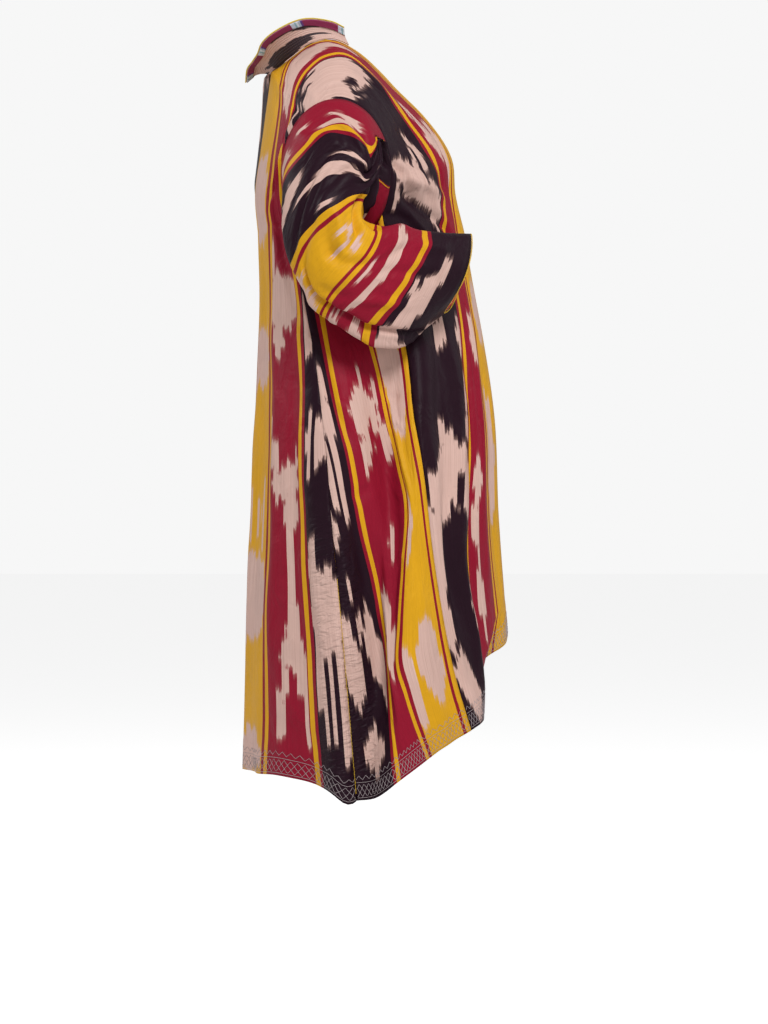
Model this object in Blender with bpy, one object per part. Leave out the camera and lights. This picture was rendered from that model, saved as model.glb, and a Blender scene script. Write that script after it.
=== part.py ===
"""Ikat kaftan, worn: two body lengths over the shoulders, two side panels, two wide
sleeves, a flared collar with braid, cuff facings and cuff pipings.
Metres, +Z up. The front faces -Y and the garment's own right side is at -X.
"""
import math

import bpy
import numpy as np

# Cloth and trimming sizes
WALL = 0.0015            # silk with its turnings, as one wall
SEAM_GAP = 0.0003        # space left between neighbouring pieces
HALF_GAP = SEAM_GAP / 2.0
UNDERARM_EASE = 0.0015   # the side panel's top stays this far below the sleeve
COLLAR_WALL = 0.0018     # the collar is doubled and densely stitched
COLLAR_LIFT = 0.0008     # extra space between the body and the collar sewn on it
BRAID_WALL = 0.0012
BRAID_WIDTH = 0.011
BRAID_LIFT = 0.0005      # space between the collar's face and the braid
EDGING_SIZE = 0.0022     # yellow edging beyond the braid
PIPING_SIZE = 0.0022     # yellow piping beyond the cuff
PIPING_GAP = 0.0009      # space between the cuff's end and the piping
FACING_WALL = 0.0010
FACING_GAP = 0.0005      # space between the sleeve's inside and the facing
FACING_WIDTH = 0.024     # cuff facing, measured up the sleeve

# How finely each piece is divided
LOWER_ROWS = 16          # hem to underarm
ACROSS_LENGTH = 13       # centre seam to outer edge of a body length
ACROSS_PANEL = 12        # across a side panel
FRONT_FAN_ROWS = 4       # underarm to the front of the neck
NECK_ROWS = 8            # along half of the neck edge
BACK_FAN_ROWS = 4        # back of the neck to underarm
SLEEVE_RINGS = 15
COLLAR_STEPS = 10        # along half of the collar, two to each neck row
DENSE = 721              # samples used to measure a loop of cloth

# Body below the underarm; drop is 0 at the underarm and 1 at the hem
BODY_NAMES = ("drop", "half_width", "centre_y", "front_y", "back_y")
BODY_ROWS = (
    (0.00, 0.196, 0.000, -0.222, 0.106),
    (0.12, 0.204, 0.010, -0.235, 0.104),
    (0.25, 0.236, 0.005, -0.251, 0.108),
    (0.45, 0.268, -0.010, -0.270, 0.115),
    (0.70, 0.284, -0.030, -0.277, 0.124),
    (1.00, 0.292, -0.050, -0.291, 0.131),
)
UNDERARM_Z = -0.300
BACK_POWER = 1.33        # the back of each loop runs straighter to the side than an ellipse

# Height of the hem round half of the body; turn is 0 at centre front, 180 at centre back
HEM_NAMES = ("turn", "z")
HEM_ROWS = (
    (0, -0.935), (14, -0.972), (30, -1.045), (42, -1.072), (54, -1.094), (66, -1.120),
    (75, -1.146), (82, -1.172), (90, -1.177), (99, -1.180), (105, -1.166), (114, -1.158),
    (124, -1.150), (134, -1.146), (150, -1.150), (180, -1.153),
)

# Turn at which the side panel starts and ends, at each drop
PANEL_NAMES = ("drop", "front_turn", "back_turn")
PANEL_ROWS = (
    (0.00, 66, 114), (0.12, 61, 102), (0.25, 58, 94), (0.38, 59, 90), (0.50, 58, 90),
    (0.60, 57, 90), (0.85, 50, 90), (1.00, 44, 90),
)

# Main folds: place at top and hem, where they start, depth (+ is a ridge), and the
# width of the slope on the front side and on the back side, in degrees of turn
FOLD_NAMES = ("top_turn", "mid_turn", "hem_turn", "start", "full", "mid_depth",
              "hem_depth", "front_width", "back_width", "lap")
FOLD_ROWS = (
    (46, 63, 75, 0.12, 0.35, 0.014, 0.018, 22, 10, 0.003),     # lap of the front length
    (56, 73, 86, 0.12, 0.35, -0.024, -0.028, 10, 20, -0.003),  # tuck behind that lap
    (34, 38, 40, 0.45, 0.90, 0.002, 0.006, 14, 14, 0.0),       # corner of the front
    (18, 19, 20, 0.45, 0.90, -0.008, -0.042, 16, 18, 0.0),     # hollow beside the middle
    (96, 98, 100, 0.40, 0.90, 0.002, 0.006, 12, 14, 0.0),      # side
    (118, 118, 116, 0.35, 0.90, -0.004, -0.010, 14, 14, 0.0),  # back flute
    (140, 142, 140, 0.35, 0.90, 0.003, 0.008, 16, 16, 0.0),
    (164, 164, 162, 0.35, 0.90, -0.004, -0.010, 14, 14, 0.0),
)

# Centre front line from underarm level to the neck, half of the neck edge, and centre
# back line down to underarm level
FRONT_NAMES = ("way", "y", "z")
FRONT_ROWS = (
    (0.00, -0.222, -0.295), (0.26, -0.208, -0.235), (0.50, -0.202, -0.178),
    (0.78, -0.161, -0.115), (1.00, -0.115, -0.069),
)
NECK_NAMES = ("way", "x", "y", "z")
NECK_TABLE = (
    (0.00, 0.000, -0.115, -0.069), (0.15, -0.036, -0.090, -0.046),
    (0.32, -0.068, -0.052, -0.017), (0.45, -0.083, -0.018, -0.002),
    (0.60, -0.084, 0.018, -0.007), (0.75, -0.068, 0.050, -0.026),
    (0.88, -0.040, 0.070, -0.037), (1.00, 0.000, 0.085, -0.042),
)
BACK_NAMES = ("way", "y", "z")
BACK_ROWS = (
    (0.00, 0.085, -0.042), (0.25, 0.093, -0.105), (0.50, 0.101, -0.170),
    (0.75, 0.110, -0.237), (1.00, 0.106, -0.300),
)

# Sleeve rings from the armhole to the cuff. Each has its front or top point, its
# outer, back or underside, and inner points; along is the cloth's distance from the seam
RING_NAMES = ("along", "front_x", "front_y", "front_z", "outer_x", "outer_y", "outer_z",
              "back_x", "back_y", "back_z", "inner_x", "inner_y", "inner_z")
RING_ROWS = (
    (0.000, -0.218, -0.104, -0.222, -0.245, -0.017, -0.118,
     -0.218, 0.062, -0.235, -0.188, -0.025, -0.340),
    (0.045, -0.250, -0.084, -0.202, -0.290, -0.022, -0.166,
     -0.250, 0.057, -0.235, -0.217, -0.020, -0.326),
    (0.110, -0.268, -0.088, -0.240, -0.322, -0.020, -0.225,
     -0.268, 0.060, -0.296, -0.236, -0.015, -0.332),
    (0.170, -0.280, -0.064, -0.277, -0.338, -0.012, -0.305,
     -0.280, 0.046, -0.370, -0.243, -0.012, -0.348),
    (0.215, -0.286, -0.065, -0.302, -0.340, -0.030, -0.362,
     -0.288, 0.012, -0.428, -0.243, -0.025, -0.375),
    (0.264, -0.283, -0.086, -0.314, -0.332, -0.064, -0.392,
     -0.288, -0.026, -0.456, -0.238, -0.056, -0.400),
    (0.310, -0.268, -0.119, -0.316, -0.312, -0.104, -0.400,
     -0.276, -0.068, -0.482, -0.230, -0.092, -0.418),
    (0.354, -0.238, -0.156, -0.318, -0.280, -0.146, -0.400,
     -0.254, -0.112, -0.490, -0.200, -0.132, -0.420),
    (0.390, -0.206, -0.192, -0.318, -0.246, -0.184, -0.390,
     -0.222, -0.150, -0.468, -0.164, -0.170, -0.408),
    (0.425, -0.172, -0.225, -0.316, -0.210, -0.220, -0.374,
     -0.184, -0.186, -0.436, -0.128, -0.210, -0.394),
)
ARMHOLE_FRONT = -35.0    # angle on the first ring where the front edge starts
ARMHOLE_NECK_FRONT = 12.0
ARMHOLE_NECK_BACK = 132.0
ARMHOLE_BACK = 215.0     # angle where the back edge ends
SLEEVE_LENGTH = 0.425

# Free edge of the collar against the way along half of the neck edge
COLLAR_START = 0.375     # a neck row, so that the collar follows the neck edge's facets
COLLAR_NAMES = ("way", "x", "y", "z")
COLLAR_TABLE = (
    (0.375, -0.081, -0.032, 0.018), (0.47, -0.089, -0.012, 0.026),
    (0.60, -0.101, 0.032, 0.028), (0.70, -0.106, 0.064, 0.015),
    (0.78, -0.100, 0.088, 0.000), (0.84, -0.087, 0.099, -0.011),
    (0.88, -0.074, 0.104, -0.021), (0.92, -0.057, 0.113, -0.031),
    (0.96, -0.034, 0.122, -0.039), (1.00, 0.000, 0.126, -0.054),
)
COLLAR_BELLY = 0.006     # how far the collar bows outwards between its edges

# How the cloth over the shoulder leaves the neck and meets the armhole
NECK_RISE = 0.22         # slope upwards where it leaves the neck
NECK_PULL = 1.15         # how long it keeps the direction it leaves the neck with
ARMHOLE_PULL = 1.05      # and the one it meets the armhole with
ARMHOLE_BLEND = 0.55     # share of the sleeve's own direction in that
WRAP_X, WRAP_Y = -0.45, -0.85    # direction in which it wraps round under the arm
SECOND_RING = 0.045      # distance to the ring that gives the sleeve's own direction
PANEL_BLEND = 0.30       # drop by which the loops leave the armhole's shape


def columns(rows, names):
    """The named columns of a table, as a dictionary of arrays."""
    return {name: np.array([row[i] for row in rows], float)
            for i, name in enumerate(names)}


def smooth(xs, ys, at):
    """Smooth curve through the points (xs, ys), read at the places given."""
    xs = np.asarray(xs, float)
    ys = np.asarray(ys, float)
    at = np.clip(np.asarray(at, float), xs[0], xs[-1])
    step = np.diff(xs)
    slope = np.diff(ys) / step
    tangent = np.empty_like(ys)
    tangent[0], tangent[-1] = slope[0], slope[-1]
    tangent[1:-1] = (slope[:-1] * step[1:] + slope[1:] * step[:-1]) / (step[1:] + step[:-1])
    k = np.clip(np.searchsorted(xs, at, side="right") - 1, 0, len(xs) - 2)
    h = step[k]
    t = (at - xs[k]) / h
    return ((2 * t**3 - 3 * t**2 + 1) * ys[k] + (t**3 - 2 * t**2 + t) * h * tangent[k]
            + (3 * t**2 - 2 * t**3) * ys[k + 1] + (t**3 - t**2) * h * tangent[k + 1])


def ease(value):
    """0 below 0, 1 above 1, with a soft S between."""
    value = np.clip(value, 0.0, 1.0)
    return value * value * (3.0 - 2.0 * value)


def bump(turn, centre, front_width, back_width):
    """Soft hump of height 1 whose two slopes may differ."""
    off = turn - centre
    width = np.where(off < 0.0, front_width, back_width)
    return 0.5 + 0.5 * np.cos(np.pi * np.clip(off / width, -1.0, 1.0))


def unit(vectors):
    return vectors / np.maximum(np.linalg.norm(vectors, axis=-1, keepdims=True), 1e-12)


BODY = columns(BODY_ROWS, BODY_NAMES)
HEM = columns(HEM_ROWS, HEM_NAMES)
PANEL = columns(PANEL_ROWS, PANEL_NAMES)
FOLDS = columns(FOLD_ROWS, FOLD_NAMES)
RING = columns(RING_ROWS, RING_NAMES)
FRONT = columns(FRONT_ROWS, FRONT_NAMES)
NECK = columns(NECK_TABLE, NECK_NAMES)
BACK = columns(BACK_ROWS, BACK_NAMES)
COLLAR = columns(COLLAR_TABLE, COLLAR_NAMES)


def body_loop(drop, turn):
    """Points of the right half of the body's loop at one drop, with its folds."""
    size = {name: float(smooth(BODY["drop"], BODY[name], drop)) for name in BODY_NAMES}
    angle = np.radians(turn)
    depth = np.where(turn < 90.0, size["centre_y"] - size["front_y"],
                     size["back_y"] - size["centre_y"])
    power = np.where(turn < 90.0, 1.0, BACK_POWER)
    x = -size["half_width"] * np.abs(np.sin(angle)) ** power
    y = size["centre_y"] - depth * np.sign(np.cos(angle)) * np.abs(np.cos(angle)) ** power
    out = unit(np.stack([-np.sin(angle) * depth, -np.cos(angle) * size["half_width"]], -1))
    along = np.stack([-out[..., 1], out[..., 0]], -1)
    shift = np.zeros(turn.shape)
    slide = np.zeros(turn.shape)
    for i in range(len(FOLD_ROWS)):
        fold = {name: FOLDS[name][i] for name in FOLD_NAMES}
        place = float(smooth((0.0, 0.6, 1.0),
                             (fold["top_turn"], fold["mid_turn"], fold["hem_turn"]), drop))
        grown = float(ease((drop - fold["start"]) / (fold["full"] - fold["start"])))
        deep = np.interp(drop, (0.0, fold["full"], 1.0),
                         (fold["mid_depth"], fold["mid_depth"], fold["hem_depth"]))
        hump = bump(turn, place, fold["front_width"], fold["back_width"])
        shift += deep * grown * hump
        slide += fold["lap"] * grown * hump
    x = x + out[..., 0] * shift - along[..., 0] * slide
    y = y + out[..., 1] * shift - along[..., 1] * slide
    z = UNDERARM_Z + (smooth(HEM["turn"], HEM["z"], turn) - UNDERARM_Z) * drop
    return np.stack([x, y, z], -1)


def ring_points(along, theta):
    """Points of a sleeve ring; theta is 0 at the front, 90 outer, 180 back, 270 inner."""
    v = {name: smooth(RING["along"], RING[name], along) for name in RING_NAMES}
    front = np.stack([v["front_x"], v["front_y"], v["front_z"]], -1)
    outer = np.stack([v["outer_x"], v["outer_y"], v["outer_z"]], -1)
    back = np.stack([v["back_x"], v["back_y"], v["back_z"]], -1)
    inner = np.stack([v["inner_x"], v["inner_y"], v["inner_z"]], -1)
    c = np.cos(np.radians(theta))[..., None]
    s = np.sin(np.radians(theta))[..., None]
    c2 = np.cos(2.0 * np.radians(theta))[..., None]
    return ((front + outer + back + inner) / 4.0 + c * (front - back) / 2.0
            + s * (outer - inner) / 2.0 + c2 * (front + back - outer - inner) / 4.0)


def fan_rows():
    """Inner points, outer angles and neck share of the rows over the shoulder."""
    front_way = np.linspace(0.0, 1.0, FRONT_FAN_ROWS + 1)
    neck_way = np.linspace(0.0, 1.0, NECK_ROWS + 1)
    back_way = np.linspace(0.0, 1.0, BACK_FAN_ROWS + 1)
    front = np.stack([0.0 * front_way, smooth(FRONT["way"], FRONT["y"], front_way),
                      smooth(FRONT["way"], FRONT["z"], front_way)], -1)
    neck = np.stack([smooth(NECK["way"], NECK[n], neck_way) for n in ("x", "y", "z")], -1)
    back = np.stack([0.0 * back_way, smooth(BACK["way"], BACK["y"], back_way),
                     smooth(BACK["way"], BACK["z"], back_way)], -1)
    inner = np.concatenate([front[:-1], neck, back[1:]])
    angles = np.concatenate([
        np.linspace(ARMHOLE_FRONT, ARMHOLE_NECK_FRONT, FRONT_FAN_ROWS + 1)[:-1],
        np.linspace(ARMHOLE_NECK_FRONT, ARMHOLE_NECK_BACK, NECK_ROWS + 1),
        np.linspace(ARMHOLE_NECK_BACK, ARMHOLE_BACK, BACK_FAN_ROWS + 1)[1:]])
    share = np.concatenate([0.0 * front_way[:-1], np.sin(np.pi * neck_way),
                            0.0 * back_way[1:]])
    return inner, angles, share


def fan_grid(across):
    """Upper part of a body length, row by row from the front underarm over the shoulder."""
    inner, angles, share = fan_rows()
    outer = ring_points(np.zeros(len(angles)), angles)
    beyond = unit(ring_points(np.full(len(angles), SECOND_RING), angles) - outer)
    chord = outer - inner
    reach = np.linalg.norm(chord, axis=-1, keepdims=True)
    flat = np.broadcast_to(np.array([-1.0, 0.0, 0.0]), chord.shape)
    slope = unit(chord + reach * np.array([0.0, 0.0, NECK_RISE]))
    start = unit(flat * (1.0 - share[:, None]) + slope * share[:, None]) * reach * NECK_PULL
    low = ease((outer[:, 2:] - outer[:, 2:].max()) / (outer[:, 2:].min() - outer[:, 2:].max()))
    wrap = np.stack([np.full(len(angles), WRAP_X), WRAP_Y * np.sign(outer[:, 1]),
                     0.0 * angles], -1)
    own = beyond * (1.0 - low) + wrap * low
    end = unit(own * ARMHOLE_BLEND + unit(chord) * (1.0 - ARMHOLE_BLEND)) * reach * ARMHOLE_PULL
    c = across[None, :, None]
    grid = ((2 * c**3 - 3 * c**2 + 1) * inner[:, None] + (c**3 - 2 * c**2 + c) * start[:, None]
            + (3 * c**2 - 2 * c**3) * outer[:, None] + (c**3 - c**2) * end[:, None])
    return grid


def spaced(points, cut_from, cut_to, count):
    """Even spacing along a measured loop between two turns."""
    turn = np.linspace(0.0, 180.0, len(points))
    length = np.concatenate([[0.0], np.cumsum(np.linalg.norm(np.diff(points, axis=0), axis=1))])
    first, last = np.interp((cut_from, cut_to), turn, length)
    want = np.linspace(first, last, count + 1)
    return np.stack([np.interp(want, length, points[:, i]) for i in range(3)], -1)


def right_grids():
    """Middle surfaces of the right length, side panel and sleeve, sharing their seams."""
    across = np.linspace(0.0, 1.0, ACROSS_LENGTH + 1)
    fan = fan_grid(across)
    low_theta = np.linspace(ARMHOLE_FRONT, ARMHOLE_BACK - 360.0, ACROSS_PANEL + 1)
    panel_top = ring_points(np.zeros(ACROSS_PANEL + 1), low_theta)
    turn = np.linspace(0.0, 180.0, DENSE)
    drops = np.linspace(0.0, 1.0, LOWER_ROWS + 1)
    parts = {"front": [], "panel": [], "back": []}
    for drop in drops:
        loop = body_loop(drop, turn)
        first = float(smooth(PANEL["drop"], PANEL["front_turn"], drop))
        last = float(smooth(PANEL["drop"], PANEL["back_turn"], drop))
        parts["front"].append(spaced(loop, 0.0, first, ACROSS_LENGTH))
        parts["panel"].append(spaced(loop, first, last, ACROSS_PANEL))
        parts["back"].append(spaced(loop, last, 180.0, ACROSS_LENGTH)[::-1])
    keep = (1.0 - ease(drops / PANEL_BLEND))[:, None, None]
    front = np.array(parts["front"])
    panel = np.array(parts["panel"])
    back = np.array(parts["back"])
    front = front + (fan[0] - front[0])[None] * keep
    panel = panel + (panel_top - panel[0])[None] * keep
    back = back + (fan[-1] - back[0])[None] * keep
    length = np.concatenate([front[:0:-1], fan, back[1:]])
    theta = np.concatenate([fan_rows()[1], (low_theta[::-1] + 360.0)[1:]])
    along = np.linspace(0.0, SLEEVE_LENGTH, SLEEVE_RINGS + 1)
    sleeve = ring_points(np.repeat(along[:, None], len(theta), 1),
                         np.repeat(theta[None], len(along), 0))
    sleeve[:, -1] = sleeve[:, 0]
    return {"length": length, "panel": panel, "sleeve": sleeve}


def grid_normals(grid):
    """Area-weighted normals at each point of one grid, not scaled to unit length."""
    total = np.zeros(grid.shape)
    a, b, c, d = grid[:-1, :-1], grid[:-1, 1:], grid[1:, 1:], grid[1:, :-1]
    face = np.cross(c - a, d - b)
    for rows, cols in ((slice(None, -1), slice(None, -1)), (slice(None, -1), slice(1, None)),
                       (slice(1, None), slice(1, None)), (slice(1, None), slice(None, -1))):
        total[rows, cols] += face
    return total


def shared_normals(grids, signs):
    """Unit normals for several grids, with one common normal where points coincide."""
    points = np.concatenate([g.reshape(-1, 3) for g in grids.values()])
    normals = np.concatenate([(grid_normals(g) * signs[k]).reshape(-1, 3)
                              for k, g in grids.items()])
    points = np.concatenate([points, points * (-1, 1, 1)])
    normals = np.concatenate([normals, normals * (-1, 1, 1)])
    keys = np.round(points * 1e5).astype(np.int64)
    _, where = np.unique(keys, axis=0, return_inverse=True)
    where = where.reshape(-1)
    summed = np.zeros((where.max() + 1, 3))
    np.add.at(summed, where, normals)
    summed = unit(summed)[where]
    result, start = {}, 0
    for name, grid in grids.items():
        size = grid.shape[0] * grid.shape[1]
        result[name] = summed[start:start + size].reshape(grid.shape)
        start += size
    return result


def draw_in(grid, sides):
    """Move the named border lines of a grid inwards, each by its own distance."""
    grid = grid.copy()
    for side, inset in sides:
        edge, nearby = {"first_row": (grid[0], grid[1]), "last_row": (grid[-1], grid[-2]),
                        "first_column": (grid[:, 0], grid[:, 1]),
                        "last_column": (grid[:, -1], grid[:, -2])}[side]
        edge += unit(nearby - edge) * inset
    return grid


def material(name, colour, roughness):
    made = bpy.data.materials.new(name)
    made.use_nodes = True
    shader = made.node_tree.nodes["Principled BSDF"]
    shader.inputs["Base Color"].default_value = (*colour, 1.0)
    shader.inputs["Roughness"].default_value = roughness
    shader.inputs["Metallic"].default_value = 0.0
    return made


def add_object(name, points, faces, colour, roughness):
    mesh = bpy.data.meshes.new(name)
    mesh.from_pydata(points.tolist(), [], faces.tolist())
    mesh.materials.append(material(name, colour, roughness))
    mesh.update()
    made = bpy.data.objects.new(name, mesh)
    bpy.context.collection.objects.link(made)
    return made


def wall(name, middle, normals, thick, colour, roughness, wrap=False):
    """Closed wall of even thickness round a middle surface; wrap joins its side edges."""
    if wrap:
        middle, normals = middle[:, :-1], normals[:, :-1]
    rows, cols = middle.shape[:2]
    outer = (middle + normals * thick / 2.0).reshape(-1, 3)
    inside = (middle - normals * thick / 2.0).reshape(-1, 3)
    index = np.arange(rows * cols).reshape(rows, cols)
    if wrap:
        index = np.concatenate([index, index[:, :1]], 1)
    quads = np.stack([index[:-1, :-1], index[:-1, 1:], index[1:, 1:], index[1:, :-1]],
                     -1).reshape(-1, 4)
    faces = np.cross(outer[quads[:, 2]] - outer[quads[:, 0]],
                     outer[quads[:, 3]] - outer[quads[:, 1]])
    tris = np.concatenate([quads[:, [0, 1, 2]], quads[:, [0, 2, 3]]])
    borders = [index[0], index[-1, ::-1]]
    if not wrap:
        borders += [index[::-1, 0], index[:, -1]]
    shift = rows * cols
    rims = []
    for line in borders:
        near, far = line[:-1], line[1:]
        rims += [np.stack([far, near, near + shift], -1),
                 np.stack([far, near + shift, far + shift], -1)]
    every = np.concatenate([tris, tris[:, ::-1] + shift] + rims)
    if (faces * normals.reshape(-1, 3)[quads[:, 0]]).sum() < 0.0:
        every = every[:, ::-1]
    return add_object(name, np.concatenate([outer, inside]), every, colour, roughness)


def mirrored(grid):
    return grid * (-1.0, 1.0, 1.0)


def cord(name, path, side, up, size, colour, roughness, wrap=False):
    """Four-sided cord along a path; side and up are unit vectors across it."""
    half = size / 2.0
    corners = np.stack([path + side * half + up * half, path - side * half + up * half,
                        path - side * half - up * half, path + side * half - up * half], 1)
    count = len(path)
    index = np.arange(count * 4).reshape(count, 4)
    index = np.concatenate([index, index[:, :1]], 1)
    if wrap:
        index = np.concatenate([index, index[:1]])
    quads = np.stack([index[:-1, :-1], index[:-1, 1:], index[1:, 1:], index[1:, :-1]],
                     -1).reshape(-1, 4)
    points = corners.reshape(-1, 3)
    if not wrap:
        quads = np.concatenate([quads, [index[0, 3::-1], index[-1, :4]]])
    a, b, c, d = (points[quads[:, i]] for i in range(4))
    normal = np.cross(c - a, d - b)
    middle = np.repeat(path, 4, 0)[quads].mean(1)
    if (normal * ((a + b + c + d) / 4.0 - middle)).sum() < 0.0:
        quads = quads[:, ::-1]
    return add_object(name, points, quads, colour, roughness)


for old in list(bpy.data.objects):
    bpy.data.objects.remove(old, do_unlink=True)

# Body lengths, side panels and sleeves: one shared surface, cut at its seams
grids = right_grids()
signs = {"length": 1.0, "panel": 1.0, "sleeve": 1.0}
for key, grid in grids.items():
    centre = grid.reshape(-1, 3).mean(0) if key == "sleeve" else np.array([0.0, -0.03, 0.0])
    away = grid - centre
    if key != "sleeve":
        away = away * (1.0, 1.0, 0.0)
    else:
        away = grid - grid[:, :-1].mean(1, keepdims=True)
    signs[key] = 1.0 if (grid_normals(grid) * away).sum() > 0.0 else -1.0
shared = shared_normals(grids, signs)

CLOTH_ROUGHNESS = 0.45
pieces = {
    "length": ("body_length", (("first_column", HALF_GAP), ("last_column", HALF_GAP))),
    "panel": ("side_panel", (("first_row", UNDERARM_EASE), ("first_column", HALF_GAP),
                             ("last_column", HALF_GAP))),
    "sleeve": ("sleeve", (("first_row", HALF_GAP),)),
}
tints = {"length": (0.36, 0.05, 0.07), "panel": (0.75, 0.52, 0.06), "sleeve": (0.13, 0.06, 0.08)}
for key, (name, sides) in pieces.items():
    middle = draw_in(grids[key], sides)
    wrap = key == "sleeve"
    wall(name + "_right", middle, shared[key], WALL, tints[key], CLOTH_ROUGHNESS, wrap)
    wall(name + "_left", mirrored(middle), mirrored(shared[key]), WALL, tints[key],
         CLOTH_ROUGHNESS, wrap)

# Cuff pipings, just beyond the sleeve's last ring, and facings inside it
sleeve = grids["sleeve"]
last = sleeve[-1, :-1]
round_cuff = unit(np.roll(last, -1, axis=0) - np.roll(last, 1, axis=0))
outward = shared["sleeve"][-1, :-1]
onward = unit(np.cross(round_cuff, outward))
onward *= np.sign((onward * (sleeve[-1, :-1] - sleeve[-2, :-1])).sum())
outward = unit(np.cross(onward, round_cuff))
outward *= np.sign((outward * shared["sleeve"][-1, :-1]).sum())
piping = last + onward * (PIPING_GAP + PIPING_SIZE / 2.0)
PIPING_COLOUR = (0.72, 0.50, 0.05)
cord("cuff_piping_right", piping, outward, onward, PIPING_SIZE, PIPING_COLOUR, 0.5, True)
cord("cuff_piping_left", mirrored(piping), mirrored(outward), mirrored(onward),
     PIPING_SIZE, PIPING_COLOUR, 0.5, True)

ring_step = SLEEVE_LENGTH / SLEEVE_RINGS
back_share = (np.array([FACING_WIDTH, FACING_WIDTH / 2.0, 0.0]) / ring_step)[:, None, None]
facing = sleeve[-1] * (1.0 - back_share) + sleeve[-2] * back_share
facing_out = unit(shared["sleeve"][-1] * (1.0 - back_share)
                  + shared["sleeve"][-2] * back_share)
facing_middle = facing - facing_out * (WALL / 2.0 + FACING_GAP + FACING_WALL / 2.0)
FACING_COLOUR = (0.62, 0.07, 0.04)
wall("cuff_facing_right", facing_middle, facing_out, FACING_WALL, FACING_COLOUR, 0.7, True)
wall("cuff_facing_left", mirrored(facing_middle), mirrored(facing_out), FACING_WALL,
     FACING_COLOUR, 0.7, True)

# Collar: from the neck edge to its flared free edge, both halves in one piece
way = np.linspace(COLLAR_START, 1.0, COLLAR_STEPS + 1)
neck_way = np.linspace(0.0, 1.0, NECK_ROWS + 1)
seam = np.stack([np.interp(way, neck_way, smooth(NECK["way"], NECK[n], neck_way))
                 for n in ("x", "y", "z")], -1)
free = np.stack([smooth(COLLAR["way"], COLLAR[n], way) for n in ("x", "y", "z")], -1)
rise = unit(free - seam)
tangent = unit(np.gradient(seam, axis=0))
collar_out = unit(np.cross(rise, tangent))
collar_out *= np.where((collar_out[:, :1] * seam[:, :1]).sum() > 0.0, 1.0, -1.0)
neck_first = LOWER_ROWS + FRONT_FAN_ROWS
neck_out = shared["length"][neck_first:neck_first + NECK_ROWS + 1, 0]
sewn_out = unit(np.stack([np.interp(way, neck_way, neck_out[:, i]) for i in range(3)], -1))
start = seam + sewn_out * (WALL / 2.0 + SEAM_GAP + COLLAR_LIFT)
height = np.linalg.norm(free - start, axis=-1)
below_braid = 1.0 - BRAID_WIDTH / height
up = np.stack([0.0 * height, below_braid / 2.0, below_braid, 0.0 * height + 1.0],
              1)[:, :, None]
half = (start[:, None] * (1.0 - up) + free[:, None] * up
        - collar_out[:, None] * COLLAR_BELLY * np.sin(np.pi * up))
whole = np.concatenate([half, mirrored(half)[-2::-1]])
whole_out = grid_normals(whole)
if (whole_out[: COLLAR_STEPS] * collar_out[:COLLAR_STEPS, None]).sum() < 0.0:
    whole_out = -whole_out
whole_out = unit(whole_out)
COLLAR_COLOUR = (0.60, 0.42, 0.37)
wall("collar", whole, whole_out, COLLAR_WALL, COLLAR_COLOUR, 0.6)

# Braid on the collar's outer side along its free edge, and the edging beyond it
edge_rise = unit(whole[:, -1] - whole[:, -2])
edge_out = whole_out[:, -1]
braid_out = whole_out[:, -2:]
braid = whole[:, -2:] + braid_out * (COLLAR_WALL / 2.0 + BRAID_LIFT + BRAID_WALL / 2.0)
wall("collar_braid", braid, braid_out, BRAID_WALL, (0.26, 0.02, 0.09), 0.6)
edging = whole[:, -1] + edge_rise * (SEAM_GAP + EDGING_SIZE / 2.0)
edging_side = unit(edge_out - edge_rise * (edge_out * edge_rise).sum(-1, keepdims=True))
cord("collar_edging", edging, edging_side, edge_rise, EDGING_SIZE, (0.80, 0.62, 0.06), 0.6)
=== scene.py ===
"""Ikat kaftan, worn: striped silk cut in lengths, side panels and sleeves, with a flared
stitched collar, woven braid, cuff pipings and facings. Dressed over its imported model.
"""

import bpy
import numpy as np
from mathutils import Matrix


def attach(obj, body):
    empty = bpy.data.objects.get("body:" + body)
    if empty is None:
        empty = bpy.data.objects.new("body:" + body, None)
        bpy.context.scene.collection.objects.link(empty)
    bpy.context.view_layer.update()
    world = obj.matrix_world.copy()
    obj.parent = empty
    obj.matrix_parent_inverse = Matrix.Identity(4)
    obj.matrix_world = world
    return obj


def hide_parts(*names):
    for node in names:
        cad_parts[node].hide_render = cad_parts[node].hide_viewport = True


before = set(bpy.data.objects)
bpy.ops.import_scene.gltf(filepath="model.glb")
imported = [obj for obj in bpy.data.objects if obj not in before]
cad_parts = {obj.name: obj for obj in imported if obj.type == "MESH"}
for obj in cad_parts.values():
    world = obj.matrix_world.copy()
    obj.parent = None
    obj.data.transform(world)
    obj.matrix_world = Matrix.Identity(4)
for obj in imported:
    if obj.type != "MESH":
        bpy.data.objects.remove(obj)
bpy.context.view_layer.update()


# Body lengths
# Two loom widths of warp ikat silk, each running from the front hem over the shoulder to
# the back hem, joined down the centre. They hang from the shoulders in soft folds, and
# the front length laps over the side in one long fold.
LOOM_WIDTH = 0.304             # one repeat of the stripes
BUNDLE = LOOM_WIDTH / 50.0     # warp threads tied and dyed together
WALL = 0.0015
SEAM_GAP = 0.0003
UNDERARM_Z = -0.300
BACK_POWER = 1.33              # the back of each loop runs straighter than an ellipse
DENSE = 1441                   # places measured round half a body loop
MM = 1000.0                    # millimetres in a metre: tables in them are divided by it


def columns(names, rows, unit=1.0):
    """A table as a dictionary of named columns, all but the first divided by the unit."""
    values = np.array(rows, float)
    values[:, 1:] /= unit
    return dict(zip(names.split(), values.T))


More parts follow.
